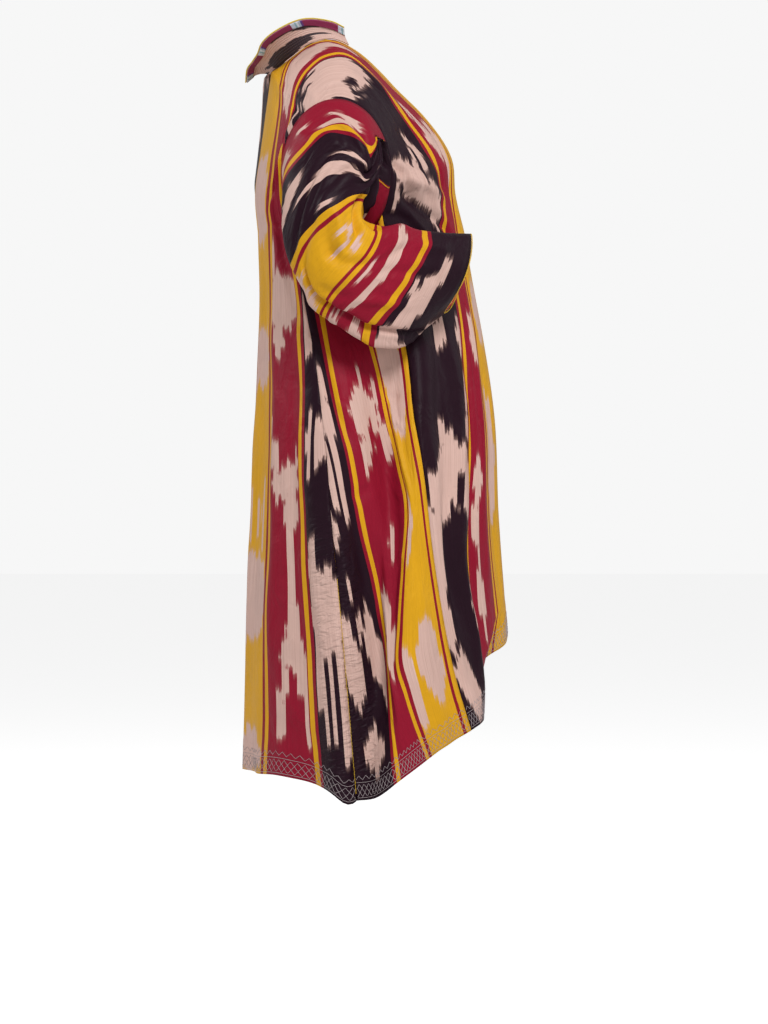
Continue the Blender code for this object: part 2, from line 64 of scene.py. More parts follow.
# The half body below the underarm: sizes and hem height, and where the side panel begins
# and ends. A turn is 0 degrees at the centre front, 90 at the side, 180 at the centre
# back; a drop is 0 at the underarm and 1 at the hem.
BODY = columns("drop half_width centre_y front_y back_y", (
    (0, 196, 0, -222, 106), (0.12, 204, 10, -235, 104), (0.25, 236, 5, -251, 108),
    (0.45, 268, -10, -270, 115), (0.7, 284, -30, -277, 124), (1, 292, -50, -291, 131),
), MM)
HEM = columns("turn z", (
    (0, -935), (14, -972), (30, -1045), (42, -1072), (54, -1094), (66, -1120), (75, -1146),
    (82, -1172), (90, -1177), (99, -1180), (105, -1166), (114, -1158), (124, -1150),
    (134, -1146), (150, -1150), (180, -1153),
), MM)
PANEL = columns("drop front_turn back_turn", (
    (0, 66, 114), (0.12, 61, 102), (0.25, 58, 94), (0.38, 59, 90), (0.5, 58, 90), (0.6, 57, 90),
    (0.85, 50, 90), (1, 44, 90),
))
# Folds: turn at top, middle and hem; drops where each starts and is full; depth in the
# middle and at the hem; width in degrees towards front and back; how far it laps over.
FOLDS = (
    (46, 63, 75, 0.12, 0.35, 0.014, 0.018, 22, 10, 0.003),     # lap of the front length
    (56, 73, 86, 0.12, 0.35, -0.024, -0.028, 10, 20, -0.003),  # tuck behind that lap
    (34, 38, 40, 0.45, 0.90, 0.002, 0.006, 14, 14, 0.0),       # corner of the front
    (18, 19, 20, 0.45, 0.90, -0.008, -0.042, 16, 18, 0.0),     # hollow beside the middle
    (96, 98, 100, 0.40, 0.90, 0.002, 0.006, 12, 14, 0.0),      # side
    (118, 118, 116, 0.35, 0.90, -0.004, -0.010, 14, 14, 0.0),  # back flute
    (140, 142, 140, 0.35, 0.90, 0.003, 0.008, 16, 16, 0.0),
    (164, 164, 162, 0.35, 0.90, -0.004, -0.010, 14, 14, 0.0),
)
# Centre front, neckline and centre back
FRONT = columns("way x y z", (
    (0, 0, -222, -295), (0.26, 0, -208, -235), (0.5, 0, -202, -178), (0.78, 0, -161, -115),
    (1, 0, -115, -69),
), MM)
NECK = columns("way x y z", (
    (0, 0, -115, -69), (0.15, -36, -90, -46), (0.32, -68, -52, -17), (0.45, -83, -18, -2),
    (0.6, -84, 18, -7), (0.75, -68, 50, -26), (0.88, -40, 70, -37), (1, 0, 85, -42),
), MM)
BACK = columns("way x y z", (
    (0, 0, 85, -42), (0.25, 0, 93, -105), (0.5, 0, 101, -170), (0.75, 0, 110, -237),
    (1, 0, 106, -300),
), MM)
# Ring round the sleeve at distances along it from the armhole
RING = columns("along front_x front_y front_z outer_x outer_y outer_z "
               "back_x back_y back_z inner_x inner_y inner_z", (
    (0, -218, -104, -222, -245, -17, -118, -218, 62, -235, -188, -25, -340),
    (0.045, -250, -84, -202, -290, -22, -166, -250, 57, -235, -217, -20, -326),
    (0.11, -268, -88, -240, -322, -20, -225, -268, 60, -296, -236, -15, -332),
    (0.17, -280, -64, -277, -338, -12, -305, -280, 46, -370, -243, -12, -348),
    (0.215, -286, -65, -302, -340, -30, -362, -288, 12, -428, -243, -25, -375),
    (0.264, -283, -86, -314, -332, -64, -392, -288, -26, -456, -238, -56, -400),
    (0.31, -268, -119, -316, -312, -104, -400, -276, -68, -482, -230, -92, -418),
    (0.354, -238, -156, -318, -280, -146, -400, -254, -112, -490, -200, -132, -420),
    (0.39, -206, -192, -318, -246, -184, -390, -222, -150, -468, -164, -170, -408),
    (0.425, -172, -225, -316, -210, -220, -374, -184, -186, -436, -128, -210, -394),
), MM)
ARMHOLE = (-35.0, 12.0, 132.0, 215.0)      # ring angles: front, neck front, neck back, back
NECK_RISE, NECK_PULL, ARMHOLE_PULL, ARMHOLE_BLEND = 0.22, 1.15, 1.05, 0.55
WRAP_X, WRAP_Y, SECOND_RING, PANEL_BLEND = -0.45, -0.85, 0.045, 0.30

# Where the length's stripes lie: way is 0 at the front hem, 1 front underarm, 2 front of
# the neck, 3 back of the neck, 4 back underarm, 5 back hem. in_u and out_u are the cloth's
# width coordinate u at its inner and outer edge, in millimetres; first and second are the
# thousandths of the way across at which its two inner line stripes lie.
LINES = (0.0975, 0.1815)
STRIPES = columns("way in_u first second out_u", (
    (0, 0, 280, 675, 304), (0.16, 0, 312, 705, 304), (0.24, 0, 342, 710, 304),
    (0.32, 0, 368, 682, 304), (0.44, 0, 388, 606, 304), (0.6, 0, 365, 500, 304),
    (0.8, 0, 300, 440, 304), (1, 0, 258, 410, 304), (1.22, 0, 222, 408, 304),
    (1.6, 0, 200, 442, 304), (1.88, 0, 205, 475, 304), (2, 0, 215, 460, 304),
    (2.12, 38, 210, 433, 304), (2.28, 66, 125, 300, 304), (2.37, 78, 80, 242, 304),
    (2.475, 88, 40, 267, 304), (2.52, 92, 25, 290, 304), (2.62, 95, 12, 350, 304),
    (2.69, 95, 12, 420, 300), (2.775, 85, 75, 520, 288), (2.88, 50, 308, 660, 262),
    (3, 0, 575, 850, 228), (3.2, 0, 783, 955, 200), (3.42, 0, 870, 975, 188),
    (3.63, 0, 868, 972, 187), (3.78, 0, 805, 955, 188), (3.92, 0, 735, 942, 190),
    (4, 0, 700, 938, 191), (4.05, 0, 665, 936, 192), (4.14, 0, 585, 926, 198),
    (4.21, 0, 520, 885, 207), (4.32, 0, 492, 842, 219), (4.41, 0, 490, 808, 230),
    (4.5, 5, 483, 790, 236), (4.6, 10, 467, 775, 243), (4.77, 14, 433, 767, 243),
    (5, 18, 420, 755, 246),
), MM)


def cubic_weights(t):
    """Weights of a cubic's start, the slope there, its end and the slope there."""
    return 2 * t**3 - 3 * t**2 + 1, t**3 - 2 * t**2 + t, 3 * t**2 - 2 * t**3, t**3 - t**2


def smooth(xs, ys, at):
    """Cubic curve through (xs, ys) read at the places given, with slopes weighed between
    neighbours."""
    xs, ys = np.asarray(xs, float), np.asarray(ys, float)
    at = np.clip(np.asarray(at, float), xs[0], xs[-1])
    step = np.diff(xs)
    slope = np.diff(ys) / step
    tangent = np.empty_like(ys)
    tangent[0], tangent[-1] = slope[0], slope[-1]
    tangent[1:-1] = (slope[:-1] * step[1:] + slope[1:] * step[:-1]) / (step[1:] + step[:-1])
    k = np.clip(np.searchsorted(xs, at, side="right") - 1, 0, len(xs) - 2)
    h = step[k]
    start, start_slope, end, end_slope = cubic_weights((at - xs[k]) / h)
    return (start * ys[k] + start_slope * h * tangent[k]
            + end * ys[k + 1] + end_slope * h * tangent[k + 1])


def read(table, at):
    """Every column of a table as a smooth curve of the first, at the places given."""
    first = next(iter(table.values()))
    return {name: smooth(first, column, at) for name, column in table.items()}


def curve(table, at):
    """Points of a table's x, y and z columns, at the places given."""
    found = read(table, at)
    return np.stack([found["x"], found["y"], found["z"]], -1)


def ease(value):
    """Three squares less two cubes: 0 below 0, 1 above 1, a soft S between."""
    value = np.clip(value, 0.0, 1.0)
    return value * value * (3.0 - 2.0 * value)


def bump(turn, centre, front_width, back_width):
    """Half a cosine wave up and down, of height 1, with its own width on each side."""
    off = turn - centre
    width = np.where(off < 0.0, front_width, back_width)
    return 0.5 + 0.5 * np.cos(np.pi * np.clip(off / width, -1.0, 1.0))


def unit(vectors):
    """Vectors divided by their lengths."""
    return vectors / np.maximum(np.linalg.norm(vectors, axis=-1, keepdims=True), 1e-12)


def body_loop(drop, turn):
    """Half ellipse at one drop, moved out and in by the folds' half cosine waves."""
    size = read(BODY, drop)
    angle = np.radians(turn)
    depth = np.where(turn < 90.0, size["centre_y"] - size["front_y"],
                     size["back_y"] - size["centre_y"])
    out = unit(np.stack([-np.sin(angle) * depth, -np.cos(angle) * size["half_width"]], -1))
    along = np.stack([-out[..., 1], out[..., 0]], -1)
    shift, slide = np.zeros(turn.shape), np.zeros(turn.shape)
    for (top, middle, low, start, full, mid_depth, hem_depth, front_width, back_width,
         lap) in FOLDS:
        place = float(smooth((0.0, 0.6, 1.0), (top, middle, low), drop))
        grown = float(ease((drop - start) / (full - start)))
        deep = np.interp(drop, (0.0, full, 1.0), (mid_depth, mid_depth, hem_depth))
        hump = bump(turn, place, front_width, back_width)
        shift += deep * grown * hump
        slide += lap * grown * hump
    power = np.where(turn < 90.0, 1.0, BACK_POWER)
    x = -size["half_width"] * np.abs(np.sin(angle)) ** power
    y = size["centre_y"] - depth * np.sign(np.cos(angle)) * np.abs(np.cos(angle)) ** power
    x = x + out[..., 0] * shift - along[..., 0] * slide
    y = y + out[..., 1] * shift - along[..., 1] * slide
    z = UNDERARM_Z + (smooth(HEM["turn"], HEM["z"], turn) - UNDERARM_Z) * drop
    return np.stack([x, y, z], -1)


def ring_points(along, theta):
    """Closed curve through four points: their mean, a cosine, a sine and a double cosine."""
    v = read(RING, along)
    front, outer, back, inner = (
        np.stack([v[side + "_x"], v[side + "_y"], v[side + "_z"]], -1)
        for side in ("front", "outer", "back", "inner"))
    theta = np.radians(theta)
    c, s, c2 = (f[..., None] for f in (np.cos(theta), np.sin(theta), np.cos(2.0 * theta)))
    return ((front + outer + back + inner) / 4.0 + c * (front - back) / 2.0
            + s * (outer - inner) / 2.0 + c2 * (front + back - outer - inner) / 4.0)


def joined(front, neck, back):
    """Three runs of rows made one: the ends that they share are taken from the neck's."""
    return np.concatenate([front[:-1], neck, back[1:]])


def fan_lines(counts):
    """Rows over the shoulder: for each, the point on the centre or neck line, the point on
    the armhole ring, the two directions between which a cubic runs, and its way."""
    front, neck, back = (np.linspace(0.0, 1.0, count + 1) for count in counts)
    inner = joined(curve(FRONT, front), curve(NECK, neck), curve(BACK, back))
    angles = joined(*(np.linspace(ARMHOLE[i], ARMHOLE[i + 1], counts[i] + 1)
                      for i in range(3)))
    share = joined(0.0 * front, np.sin(np.pi * neck), 0.0 * back)[:, None]
    outer = ring_points(np.zeros(len(angles)), angles)
    beyond = unit(ring_points(np.full(len(angles), SECOND_RING), angles) - outer)
    chord = outer - inner
    reach = np.linalg.norm(chord, axis=-1, keepdims=True)
    flat = np.broadcast_to(np.array([-1.0, 0.0, 0.0]), chord.shape)
    slope = unit(chord + reach * np.array([0.0, 0.0, NECK_RISE]))
    low = ease((outer[:, 2:] - outer[:, 2:].max()) / (outer[:, 2:].min() - outer[:, 2:].max()))
    wrap = np.stack([np.full(len(angles), WRAP_X), WRAP_Y * np.sign(outer[:, 1]),
                     0.0 * angles], -1)
    own = beyond * (1.0 - low) + wrap * low
    return {"inner": inner, "outer": outer, "angle": angles,
            "start": unit(flat * (1.0 - share) + slope * share) * reach * NECK_PULL,
            "end": unit(own * ARMHOLE_BLEND + unit(chord) * (1.0 - ARMHOLE_BLEND))
            * reach * ARMHOLE_PULL,
            "way": joined(1.0 + front, 2.0 + neck, 3.0 + back)}


def across_fan(lines, rows, share):
    """Cubic across the shoulder cloth on the rows picked, at one row of shares for each."""
    weights = cubic_weights(share[:, :, None])
    ends = (lines[name][rows][:, None] for name in ("inner", "start", "outer", "end"))
    return sum(weight * end for weight, end in zip(weights, ends))


def run_along(points):
    """Distance along a path, or along each column of a grid, from its first row."""
    step = np.linalg.norm(np.diff(points, axis=0), axis=-1)
    return np.concatenate([0.0 * step[:1], np.cumsum(step, 0)])


def at_run(want, run, points):
    """Points of a path read at the distances wanted."""
    return np.stack([np.interp(want, run, points[:, i]) for i in range(3)], -1)


def read_loops(loops, first_turn, last_turn, shares):
    """Points on measured loops, at shares of the length between two turns of each."""
    found = []
    for loop, first, last, share in zip(loops, first_turn, last_turn, shares):
        length = run_along(loop)
        ends = np.interp((first, last), turns, length)
        found.append(at_run(ends[0] + (ends[1] - ends[0]) * share, length, loop))
    return np.array(found)


def stripe_shares(table, lines, at, width):
    """Share of the way across of each warp bundle, straight between the table's lines."""
    row, names = read(table, at), list(table)
    shares = np.empty((len(at), len(width)))
    for i in range(len(at)):
        first = max(row["in_u"][i], width[0])
        known = [(first, 0.0)]
        known += [(line, row[name][i]) for line, name in zip(lines, names[2:-1])
                  if line > first + 0.002]
        known.append((min(row["out_u"][i], width[-1]), 1.0))
        shares[i] = np.interp(width, [k[0] for k in known], [k[1] for k in known])
    return shares


def lie(points, zero_row):
    """Distance along the warp at each point, 0 on the row given and less below it."""
    run = run_along(points)
    return run - run[zero_row]


LOWER = 168                    # rows from the underarm to the hem
FAN = (26, 60, 44)             # rows in front of, beside and behind the neck
bundles = np.linspace(0.0, LOOM_WIDTH, 51)     # the cloth's width coordinate, u
drops = np.linspace(0.0, 1.0, LOWER + 1)
turns = np.linspace(0.0, 180.0, DENSE)
loops = [body_loop(drop, turns) for drop in drops]
front_turn = smooth(PANEL["drop"], PANEL["front_turn"], drops)
back_turn = smooth(PANEL["drop"], PANEL["back_turn"], drops)
lines = fan_lines(FAN)
top_loop = [loops[0]] * len(drops)
keep = (1.0 - ease(drops / PANEL_BLEND))[:, None, None]


def hanging_part(middle_turn, side_turn, row, way):
    """The length below the underarm, read off the body loops between two turns, and near
    its top carried on from the first or last row over the shoulder."""
    share = stripe_shares(STRIPES, LINES, way, bundles)
    middle = np.full(len(drops), middle_turn)
    return read_loops(loops, middle, side_turn, share) + keep * (
        across_fan(lines, np.full(len(drops), row), share)
        - read_loops(top_loop, middle, np.full(len(drops), side_turn[0]), share))


front_part = hanging_part(0.0, front_turn, 0, 1.0 - drops)
back_part = hanging_part(180.0, back_turn, sum(FAN), 4.0 + drops)
share = stripe_shares(STRIPES, LINES, lines["way"], bundles)
length_middle = np.concatenate([front_part[:0:-1],
                                across_fan(lines, np.arange(sum(FAN) + 1), share),
                                back_part[1:]])
length_run = lie(length_middle, LOWER)
behind = LOWER + sum(FAN)
over = length_run[behind].copy()
even = np.array([over.mean()])
length_run[LOWER:behind] *= even / over
length_run[behind:] += even - over
ways = np.concatenate([1.0 - drops[:0:-1], lines["way"], 4.0 + drops[1:]])
length_width = np.clip(
    bundles, np.maximum(smooth(STRIPES["way"], STRIPES["in_u"], ways), 0.0)[:, None],
    np.minimum(smooth(STRIPES["way"], STRIPES["out_u"], ways), LOOM_WIDTH)[:, None])


def surface_normals(grid):
    """Cross product of each cell's diagonals, added up at the cell's four corners."""
    face = np.cross(grid[1:, 1:] - grid[:-1, :-1], grid[1:, :-1] - grid[:-1, 1:])
    total = np.zeros(grid.shape)
    for rows in (slice(None, -1), slice(1, None)):
        for cols in (slice(None, -1), slice(1, None)):
            total[rows, cols] += face
    return total


def welded(points):
    """Number of each grid point, equal where points coincide, and the points by number."""
    flat = points.reshape(-1, 3)
    _, first, where = np.unique(np.round(flat * 1e5).astype(np.int64), axis=0,
                                return_index=True, return_inverse=True)
    return where.reshape(points.shape[:2]), flat[first]


def common_normals(grids, centres):
    """Unit normals of several grids, away from their centres, each summed over all the
    grids and their mirror images, so that pieces share one normal along a seam."""
    normals = []
    for grid, centre in zip(grids, centres):
        normal = surface_normals(grid)
        normals.append(normal * np.sign((normal * (grid - centre)).sum()))
    points = np.concatenate([grid.reshape(-1, 3) for grid in grids])
    summed = np.concatenate([normal.reshape(-1, 3) for normal in normals])
    flip = np.array([-1.0, 1.0, 1.0])
    numbers, _ = welded(np.concatenate([points, points * flip])[None])
    total = np.zeros((numbers.max() + 1, 3))
    np.add.at(total, numbers[0], np.concatenate([summed, summed * flip]))
    total = unit(total)[numbers[0][:len(points)]]
    cuts = np.cumsum([grid.shape[0] * grid.shape[1] for grid in grids])[:-1]
    return [part.reshape(grid.shape) for part, grid in zip(np.split(total, cuts), grids)]


def draw_in(grid, sides):
    """Border lines of a grid moved inwards along the surface, each by its own distance."""
    grid = grid.copy()
    for side, inset in sides:
        inner = grid if side.endswith("column") else grid.swapaxes(0, 1)
        steps = inner if side.startswith("first") else inner[:, ::-1]
        far = np.linalg.norm(steps - steps[:, :1], axis=-1) > 0.002
        next_one = steps[np.arange(len(steps)), far.argmax(1)]
        near = np.linalg.norm(steps - steps[:, :1], axis=-1) < 1e-6
        moved = steps[:, 0] + unit(next_one - steps[:, 0]) * inset
        steps[...] = np.where(near[:, :, None], moved[:, None], steps)
    return grid


def cell_corners(grid):
    """Values of a grid at the four corners of each of its cells, in order round them."""
    return np.stack([grid[:-1, :-1], grid[:-1, 1:], grid[1:, 1:], grid[1:, :-1]], -1)


def mesh_object(name, points, faces, shaded, uv=None, blot=None):
    """Object with these points and faces, and with cloth coordinates and blot distances at
    the faces' corners. Faces marked as shaded are shaded smooth."""
    mesh = bpy.data.meshes.new(name)
    mesh.from_pydata(points.tolist(), [], faces)
    if uv is not None:
        mesh.uv_layers.new(name="cloth").data.foreach_set("uv", uv.reshape(-1))
    if blot is not None:
        mesh.attributes.new("blot", "FLOAT", "CORNER").data.foreach_set(
            "value", blot.reshape(-1))
    mesh.polygons.foreach_set("use_smooth", shaded)
    mesh.update()
    made = bpy.data.objects.new(name, mesh)
    bpy.context.collection.objects.link(made)
    return made


def cloth_wall(name, middle, normals, thick, u, v, marks=None, flip=False):
    """Closed wall round a grid of points, half its thickness to each side along the
    normals. Rows and columns that coincide are welded, and the rim is flat. Marks are the
    blot distances at each bundle's two sides, and a flipped wall is the mirror image."""
    if flip:
        middle, normals = middle * (-1, 1, 1), normals * (-1, 1, 1)
    numbers, points = welded(middle)
    along = np.zeros(points.shape)
    along[numbers] = normals
    rows, cols = np.indices((middle.shape[0] - 1, middle.shape[1] - 1))
    r, c = rows.ravel(), cols.ravel()
    tris_r = np.concatenate([np.stack([r, r + 1, r + 1], 1), np.stack([r, r + 1, r], 1)])
    tris_c = np.concatenate([np.stack([c, c, c + 1], 1), np.stack([c, c + 1, c + 1], 1)])
    cell = np.concatenate([c, c])
    ids = numbers[tris_r, tris_c]
    good = (ids[:, 0] != ids[:, 1]) & (ids[:, 1] != ids[:, 2]) & (ids[:, 2] != ids[:, 0])
    ids, tris_r, tris_c, cell = ids[good], tris_r[good], tris_c[good], cell[good]
    face = np.cross(points[ids[:, 1]] - points[ids[:, 0]], points[ids[:, 2]] - points[ids[:, 0]])
    turned = (face * along[ids[:, 0]]).sum() < 0.0
    uv = np.stack([np.broadcast_to(u, middle.shape[:2])[tris_r, tris_c], v[tris_r, tris_c]], -1)
    value = np.full(ids.shape, -1.0)
    if marks is not None:
        left = tris_c == cell[:, None]
        value = np.where(left, marks[0][tris_r, cell[:, None]], marks[1][tris_r, cell[:, None]])
    if turned:
        ids, uv, value = ids[:, ::-1], uv[:, ::-1], value[:, ::-1]
    edge, edge_uv, edge_value = (np.stack([f, np.roll(f, -1, 1)], 2).reshape(-1, 2, *f.shape[2:])
                                 for f in (ids, uv, value))
    key = np.sort(edge, 1) @ np.array([len(points), 1])
    _, where, count = np.unique(key, return_inverse=True, return_counts=True)
    free = count[where.reshape(-1)] == 1
    a, b = edge[free].T
    shift = len(points)
    rim = np.concatenate([np.stack([b, a, a + shift], 1), np.stack([b, a + shift, b + shift], 1)])
    rims = []
    for field in (edge_uv[free], edge_value[free]):
        first, second = field[:, 0], field[:, 1]
        rims.append(np.concatenate([np.stack([second, first, first], 1),
                                    np.stack([second, first, second], 1)]))
    every = np.concatenate([ids, ids[:, ::-1] + shift, rim])
    walls = np.concatenate([points + along * thick / 2.0, points - along * thick / 2.0])
    return mesh_object(name, walls, every.tolist(), np.arange(len(every)) < 2 * len(ids),
                       np.concatenate([uv, uv[:, ::-1], rims[0]]),
                       np.concatenate([value, value[:, ::-1], rims[1]]))

# Side panels
# One narrower length of the same silk on each side, from the underarm to the hem, cut
# slanting at its rear edge. Its front edge is sewn to the front length, inside the fold.
# The same for the panel, with the thin lines along its front edge as a stripe of their own
SIDE = columns("drop in_u edge first second out_u", (
    (0, 0, 85, 440, 800, 205), (0.12, 0, 82, 410, 808, 205), (0.22, 0, 80, 383, 842, 208),
    (0.29, 0, 78, 333, 838, 214), (0.39, 0, 75, 267, 775, 228), (0.46, 0, 74, 235, 735, 238),
    (0.52, 0, 73, 205, 695, 246), (0.64, 0, 73, 330, 608, 258), (0.74, 0, 78, 460, 600, 266),
    (0.8, 0, 80, 525, 610, 270), (0.86, 0, 74, 503, 617, 274), (0.92, 0, 69, 468, 630, 277),
    (1, 0, 64, 400, 640, 280),
), MM)
EDGE_LINES = 0.015             # the yellow and maroon lines along the panel's front edge
share = stripe_shares(SIDE, (EDGE_LINES,) + LINES, drops, bundles)
low_angle = ARMHOLE[0] + (ARMHOLE[3] - 360.0 - ARMHOLE[0]) * share
panel_middle = read_loops(loops, front_turn, back_turn, share) + keep * (
    ring_points(np.zeros(low_angle.shape), low_angle)
    - read_loops(top_loop, 0.0 * drops + front_turn[0], 0.0 * drops + back_turn[0], share))
panel_run = -lie(panel_middle, 0)
panel_width = np.minimum(bundles, smooth(SIDE["drop"], SIDE["out_u"], drops)[:, None])

# Sleeves
# Each is cut from the same silk with the warp running round it, so that its stripes do so
# too. It is sewn to the edge of the dropped armhole and drawn in to a slanting cuff.
SLEEVE_LENGTH = 0.425
SLEEVE_BUNDLES, UNDER_ROWS = 70, 45
SLEEVE_TOP = 0.134             # the cloth's width coordinate at the armhole seam
SLEEVE_LINES = (0.1815, 0.3085, 0.4015, 0.4855)     # the line stripes' width coordinates
# How far down the sleeve its four line stripes lie, at angles round it
CUFF_LINES = columns("theta one two three four", (
    (-60, 62, 170, 257, 338), (-35, 66, 169, 259, 343), (-22, 46, 168, 260, 346),
    (-14, 0, 168, 261, 348), (-8, -16, 168, 262, 349), (9, -16, 168, 263, 350),
    (15, -14, 167, 264, 351), (20, 18, 167, 265, 351), (25, 66, 167, 265, 351),
    (29, 79, 167, 265, 351), (52, 77, 167, 266, 349), (75, 55, 168, 258, 340),
    (91, 45, 167, 249, 330), (110, 48, 166, 242, 318), (133, 63, 168, 237, 308),
    (160, 68, 175, 238, 305), (200, 62, 172, 246, 318), (270, 55, 170, 255, 335),
    (325, 66, 169, 259, 343), (338, 46, 168, 260, 346), (346, 0, 168, 261, 348),
    (352, -16, 168, 262, 349), (360, -16, 168, 262, 350),
), MM)
ring_angle = np.concatenate([lines["angle"],
                             np.linspace(ARMHOLE[3] - 360.0, ARMHOLE[0], UNDER_ROWS)[1:] + 360.0])
sleeve_bundles = SLEEVE_TOP + np.linspace(0.0, SLEEVE_BUNDLES * BUNDLE, SLEEVE_BUNDLES + 1)
stops = np.stack([0.0 * ring_angle]
                 + [smooth(CUFF_LINES["theta"], CUFF_LINES[name], ring_angle)
                    for name in list(CUFF_LINES)[1:]]
                 + [0.0 * ring_angle + SLEEVE_LENGTH], 1)
marks = (SLEEVE_TOP,) + SLEEVE_LINES + (sleeve_bundles[-1],)
sleeve_down = np.array([np.maximum(smooth(marks, stop, sleeve_bundles), 0.0)
                        for stop in stops])        # distance down the sleeve at each point
sleeve_middle = ring_points(sleeve_down,
                            np.repeat(ring_angle[:, None], len(sleeve_bundles), 1))
sleeve_middle[-1] = sleeve_middle[0]
sleeve_run = lie(sleeve_middle, int(np.argmin(np.abs(ring_angle))))

# Made-up cloth
# Plain-woven silk in a warp-faced satin stripe, dyed before weaving: each small bundle of
# warp threads was tied where it stays pink-beige, so blots step from bundle to bundle.
MIDDLE_Y = -0.03               # normals face away from the upright line at this place
length_out, panel_out, sleeve_out = common_normals(
    [length_middle, panel_middle, sleeve_middle],
    [np.where([True, True, False], (0.0, MIDDLE_Y, 0.0), length_middle),
     np.where([True, True, False], (0.0, MIDDLE_Y, 0.0), panel_middle),
     sleeve_middle[:-1].mean(0, keepdims=True)])


def feed(tree, made, inputs):
    """Each listed input of a node set to a value or joined to an output."""
    for name, value in inputs.items():
        if isinstance(value, bpy.types.NodeSocket):
            tree.links.new(value, made.inputs[name])
        else:
            made.inputs[name].default_value = value


def node(tree, kind, inputs={}, **settings):
    """A node with its settings and inputs."""
    made = tree.nodes.new(kind)
    for name, value in settings.items():
        setattr(made, name, value)
    feed(tree, made, inputs)
    return made


def maths(tree, operation, a, b=0.0, c=0.0):
    """Output of a Math node."""
    return node(tree, "ShaderNodeMath", {0: a, 1: b, 2: c}, operation=operation).outputs[0]


def times(tree, a, b):
    """Product of two values."""
    return maths(tree, "MULTIPLY", a, b)


def flat_vector(tree, x, y):
    """Vector with these x and y and no z."""
    return node(tree, "ShaderNodeCombineXYZ", {"X": x, "Y": y}).outputs[0]


def noise(tree, place, scale, detail=2.0, roughness=0.5, distortion=0.0):
    """Output of a Noise Texture node, 0 to 1."""
    return node(tree, "ShaderNodeTexNoise",
                {"Vector": place, "Scale": scale, "Detail": detail, "Roughness": roughness,
                 "Distortion": distortion}).outputs["Fac"]


def ridges(tree, value, period):
    """Sine of a value with this period."""
    return maths(tree, "SINE", times(tree, value, 2.0 * np.pi / period))


def blend_colour(tree, share, a, b, kind="MIX"):
    """Output of a colour Mix node."""
    return node(tree, "ShaderNodeMix", {"Factor": share, 6: a, 7: b}, data_type="RGBA",
                blend_type=kind).outputs[2]


def soft_step(tree, value, low, high, start=0.0, end=1.0):
    """Output of a smooth Map Range node."""
    return node(tree, "ShaderNodeMapRange",
                {"Value": value, "From Min": low, "From Max": high, "To Min": start,
                 "To Max": end}, interpolation_type="SMOOTHSTEP").outputs[0]


def hexed(text):
    """Linear colour from six hexadecimal digits."""
    part = np.array([int(text[i:i + 2], 16) for i in (0, 2, 4)]) / 255.0
    part = np.where(part <= 0.04045, part / 12.92, ((part + 0.055) / 1.055) ** 2.4)
    return (*part.tolist(), 1.0)


def ramp(tree, value, stops):
    """Colour output of a stepped Color Ramp with the given stops."""
    made = node(tree, "ShaderNodeValToRGB", {"Fac": value})
    made.color_ramp.interpolation = "CONSTANT"
    points = made.color_ramp.elements
    points[0].position, points[0].color = stops[0]
    points.remove(points[1])
    for place, colour in stops[1:]:
        points.new(place).color = colour
    return made.outputs["Color"]


def group_sockets(tree, inputs, outputs):
    """Named sockets of a node group: inputs as (name, type, default), outputs as pairs."""
    for name, kind, value in inputs:
        made = tree.interface.new_socket(name, in_out="INPUT", socket_type=kind)
        if value is not None:
            made.default_value = value
    for name, kind in outputs:
        tree.interface.new_socket(name, in_out="OUTPUT", socket_type=kind)
    return tree.nodes.new("NodeGroupInput"), tree.nodes.new("NodeGroupOutput")


YELLOW, MAROON, CRIMSON = hexed("D89F1E"), hexed("8C172B"), hexed("8F182E")
AUBERGINE, PINK, PINK_LIT = hexed("26141E"), hexed("C9A094"), hexed("D9BAAF")
COLOUR_SOCKET, VALUE_SOCKET = "NodeSocketColor", "NodeSocketFloat"
VECTOR_SOCKET = "NodeSocketVector"
THREAD_PITCH, WEFT_PITCH = 0.0013, 0.0011      # of the threads that show
DYE_CREEP = 0.022              # how much further one thread's blot reaches than another's
CRUMPLE_HEIGHT, PUCKER_HEIGHT = 0.0060, 0.0095
FINE_HEIGHT, RIB_HEIGHT, STREAK_HEIGHT = 0.0004, 0.00002, 0.00006
TIED, PLAIN = (1.0, 1.0, 1.0, 1.0), (0.0, 0.0, 0.0, 1.0)    # blots show on tied stripes only
# Ground stripes in one loom width: where each ends, its colour, and whether it is tied
GROUND_ROWS = (
    (0.009, YELLOW, PLAIN), (0.015, MAROON, PLAIN), (0.087, YELLOW, TIED),
    (0.093, MAROON, PLAIN), (0.102, YELLOW, PLAIN), (0.177, CRIMSON, TIED),
    (0.186, YELLOW, PLAIN), (0.192, MAROON, PLAIN), (0.304, AUBERGINE, TIED),
)


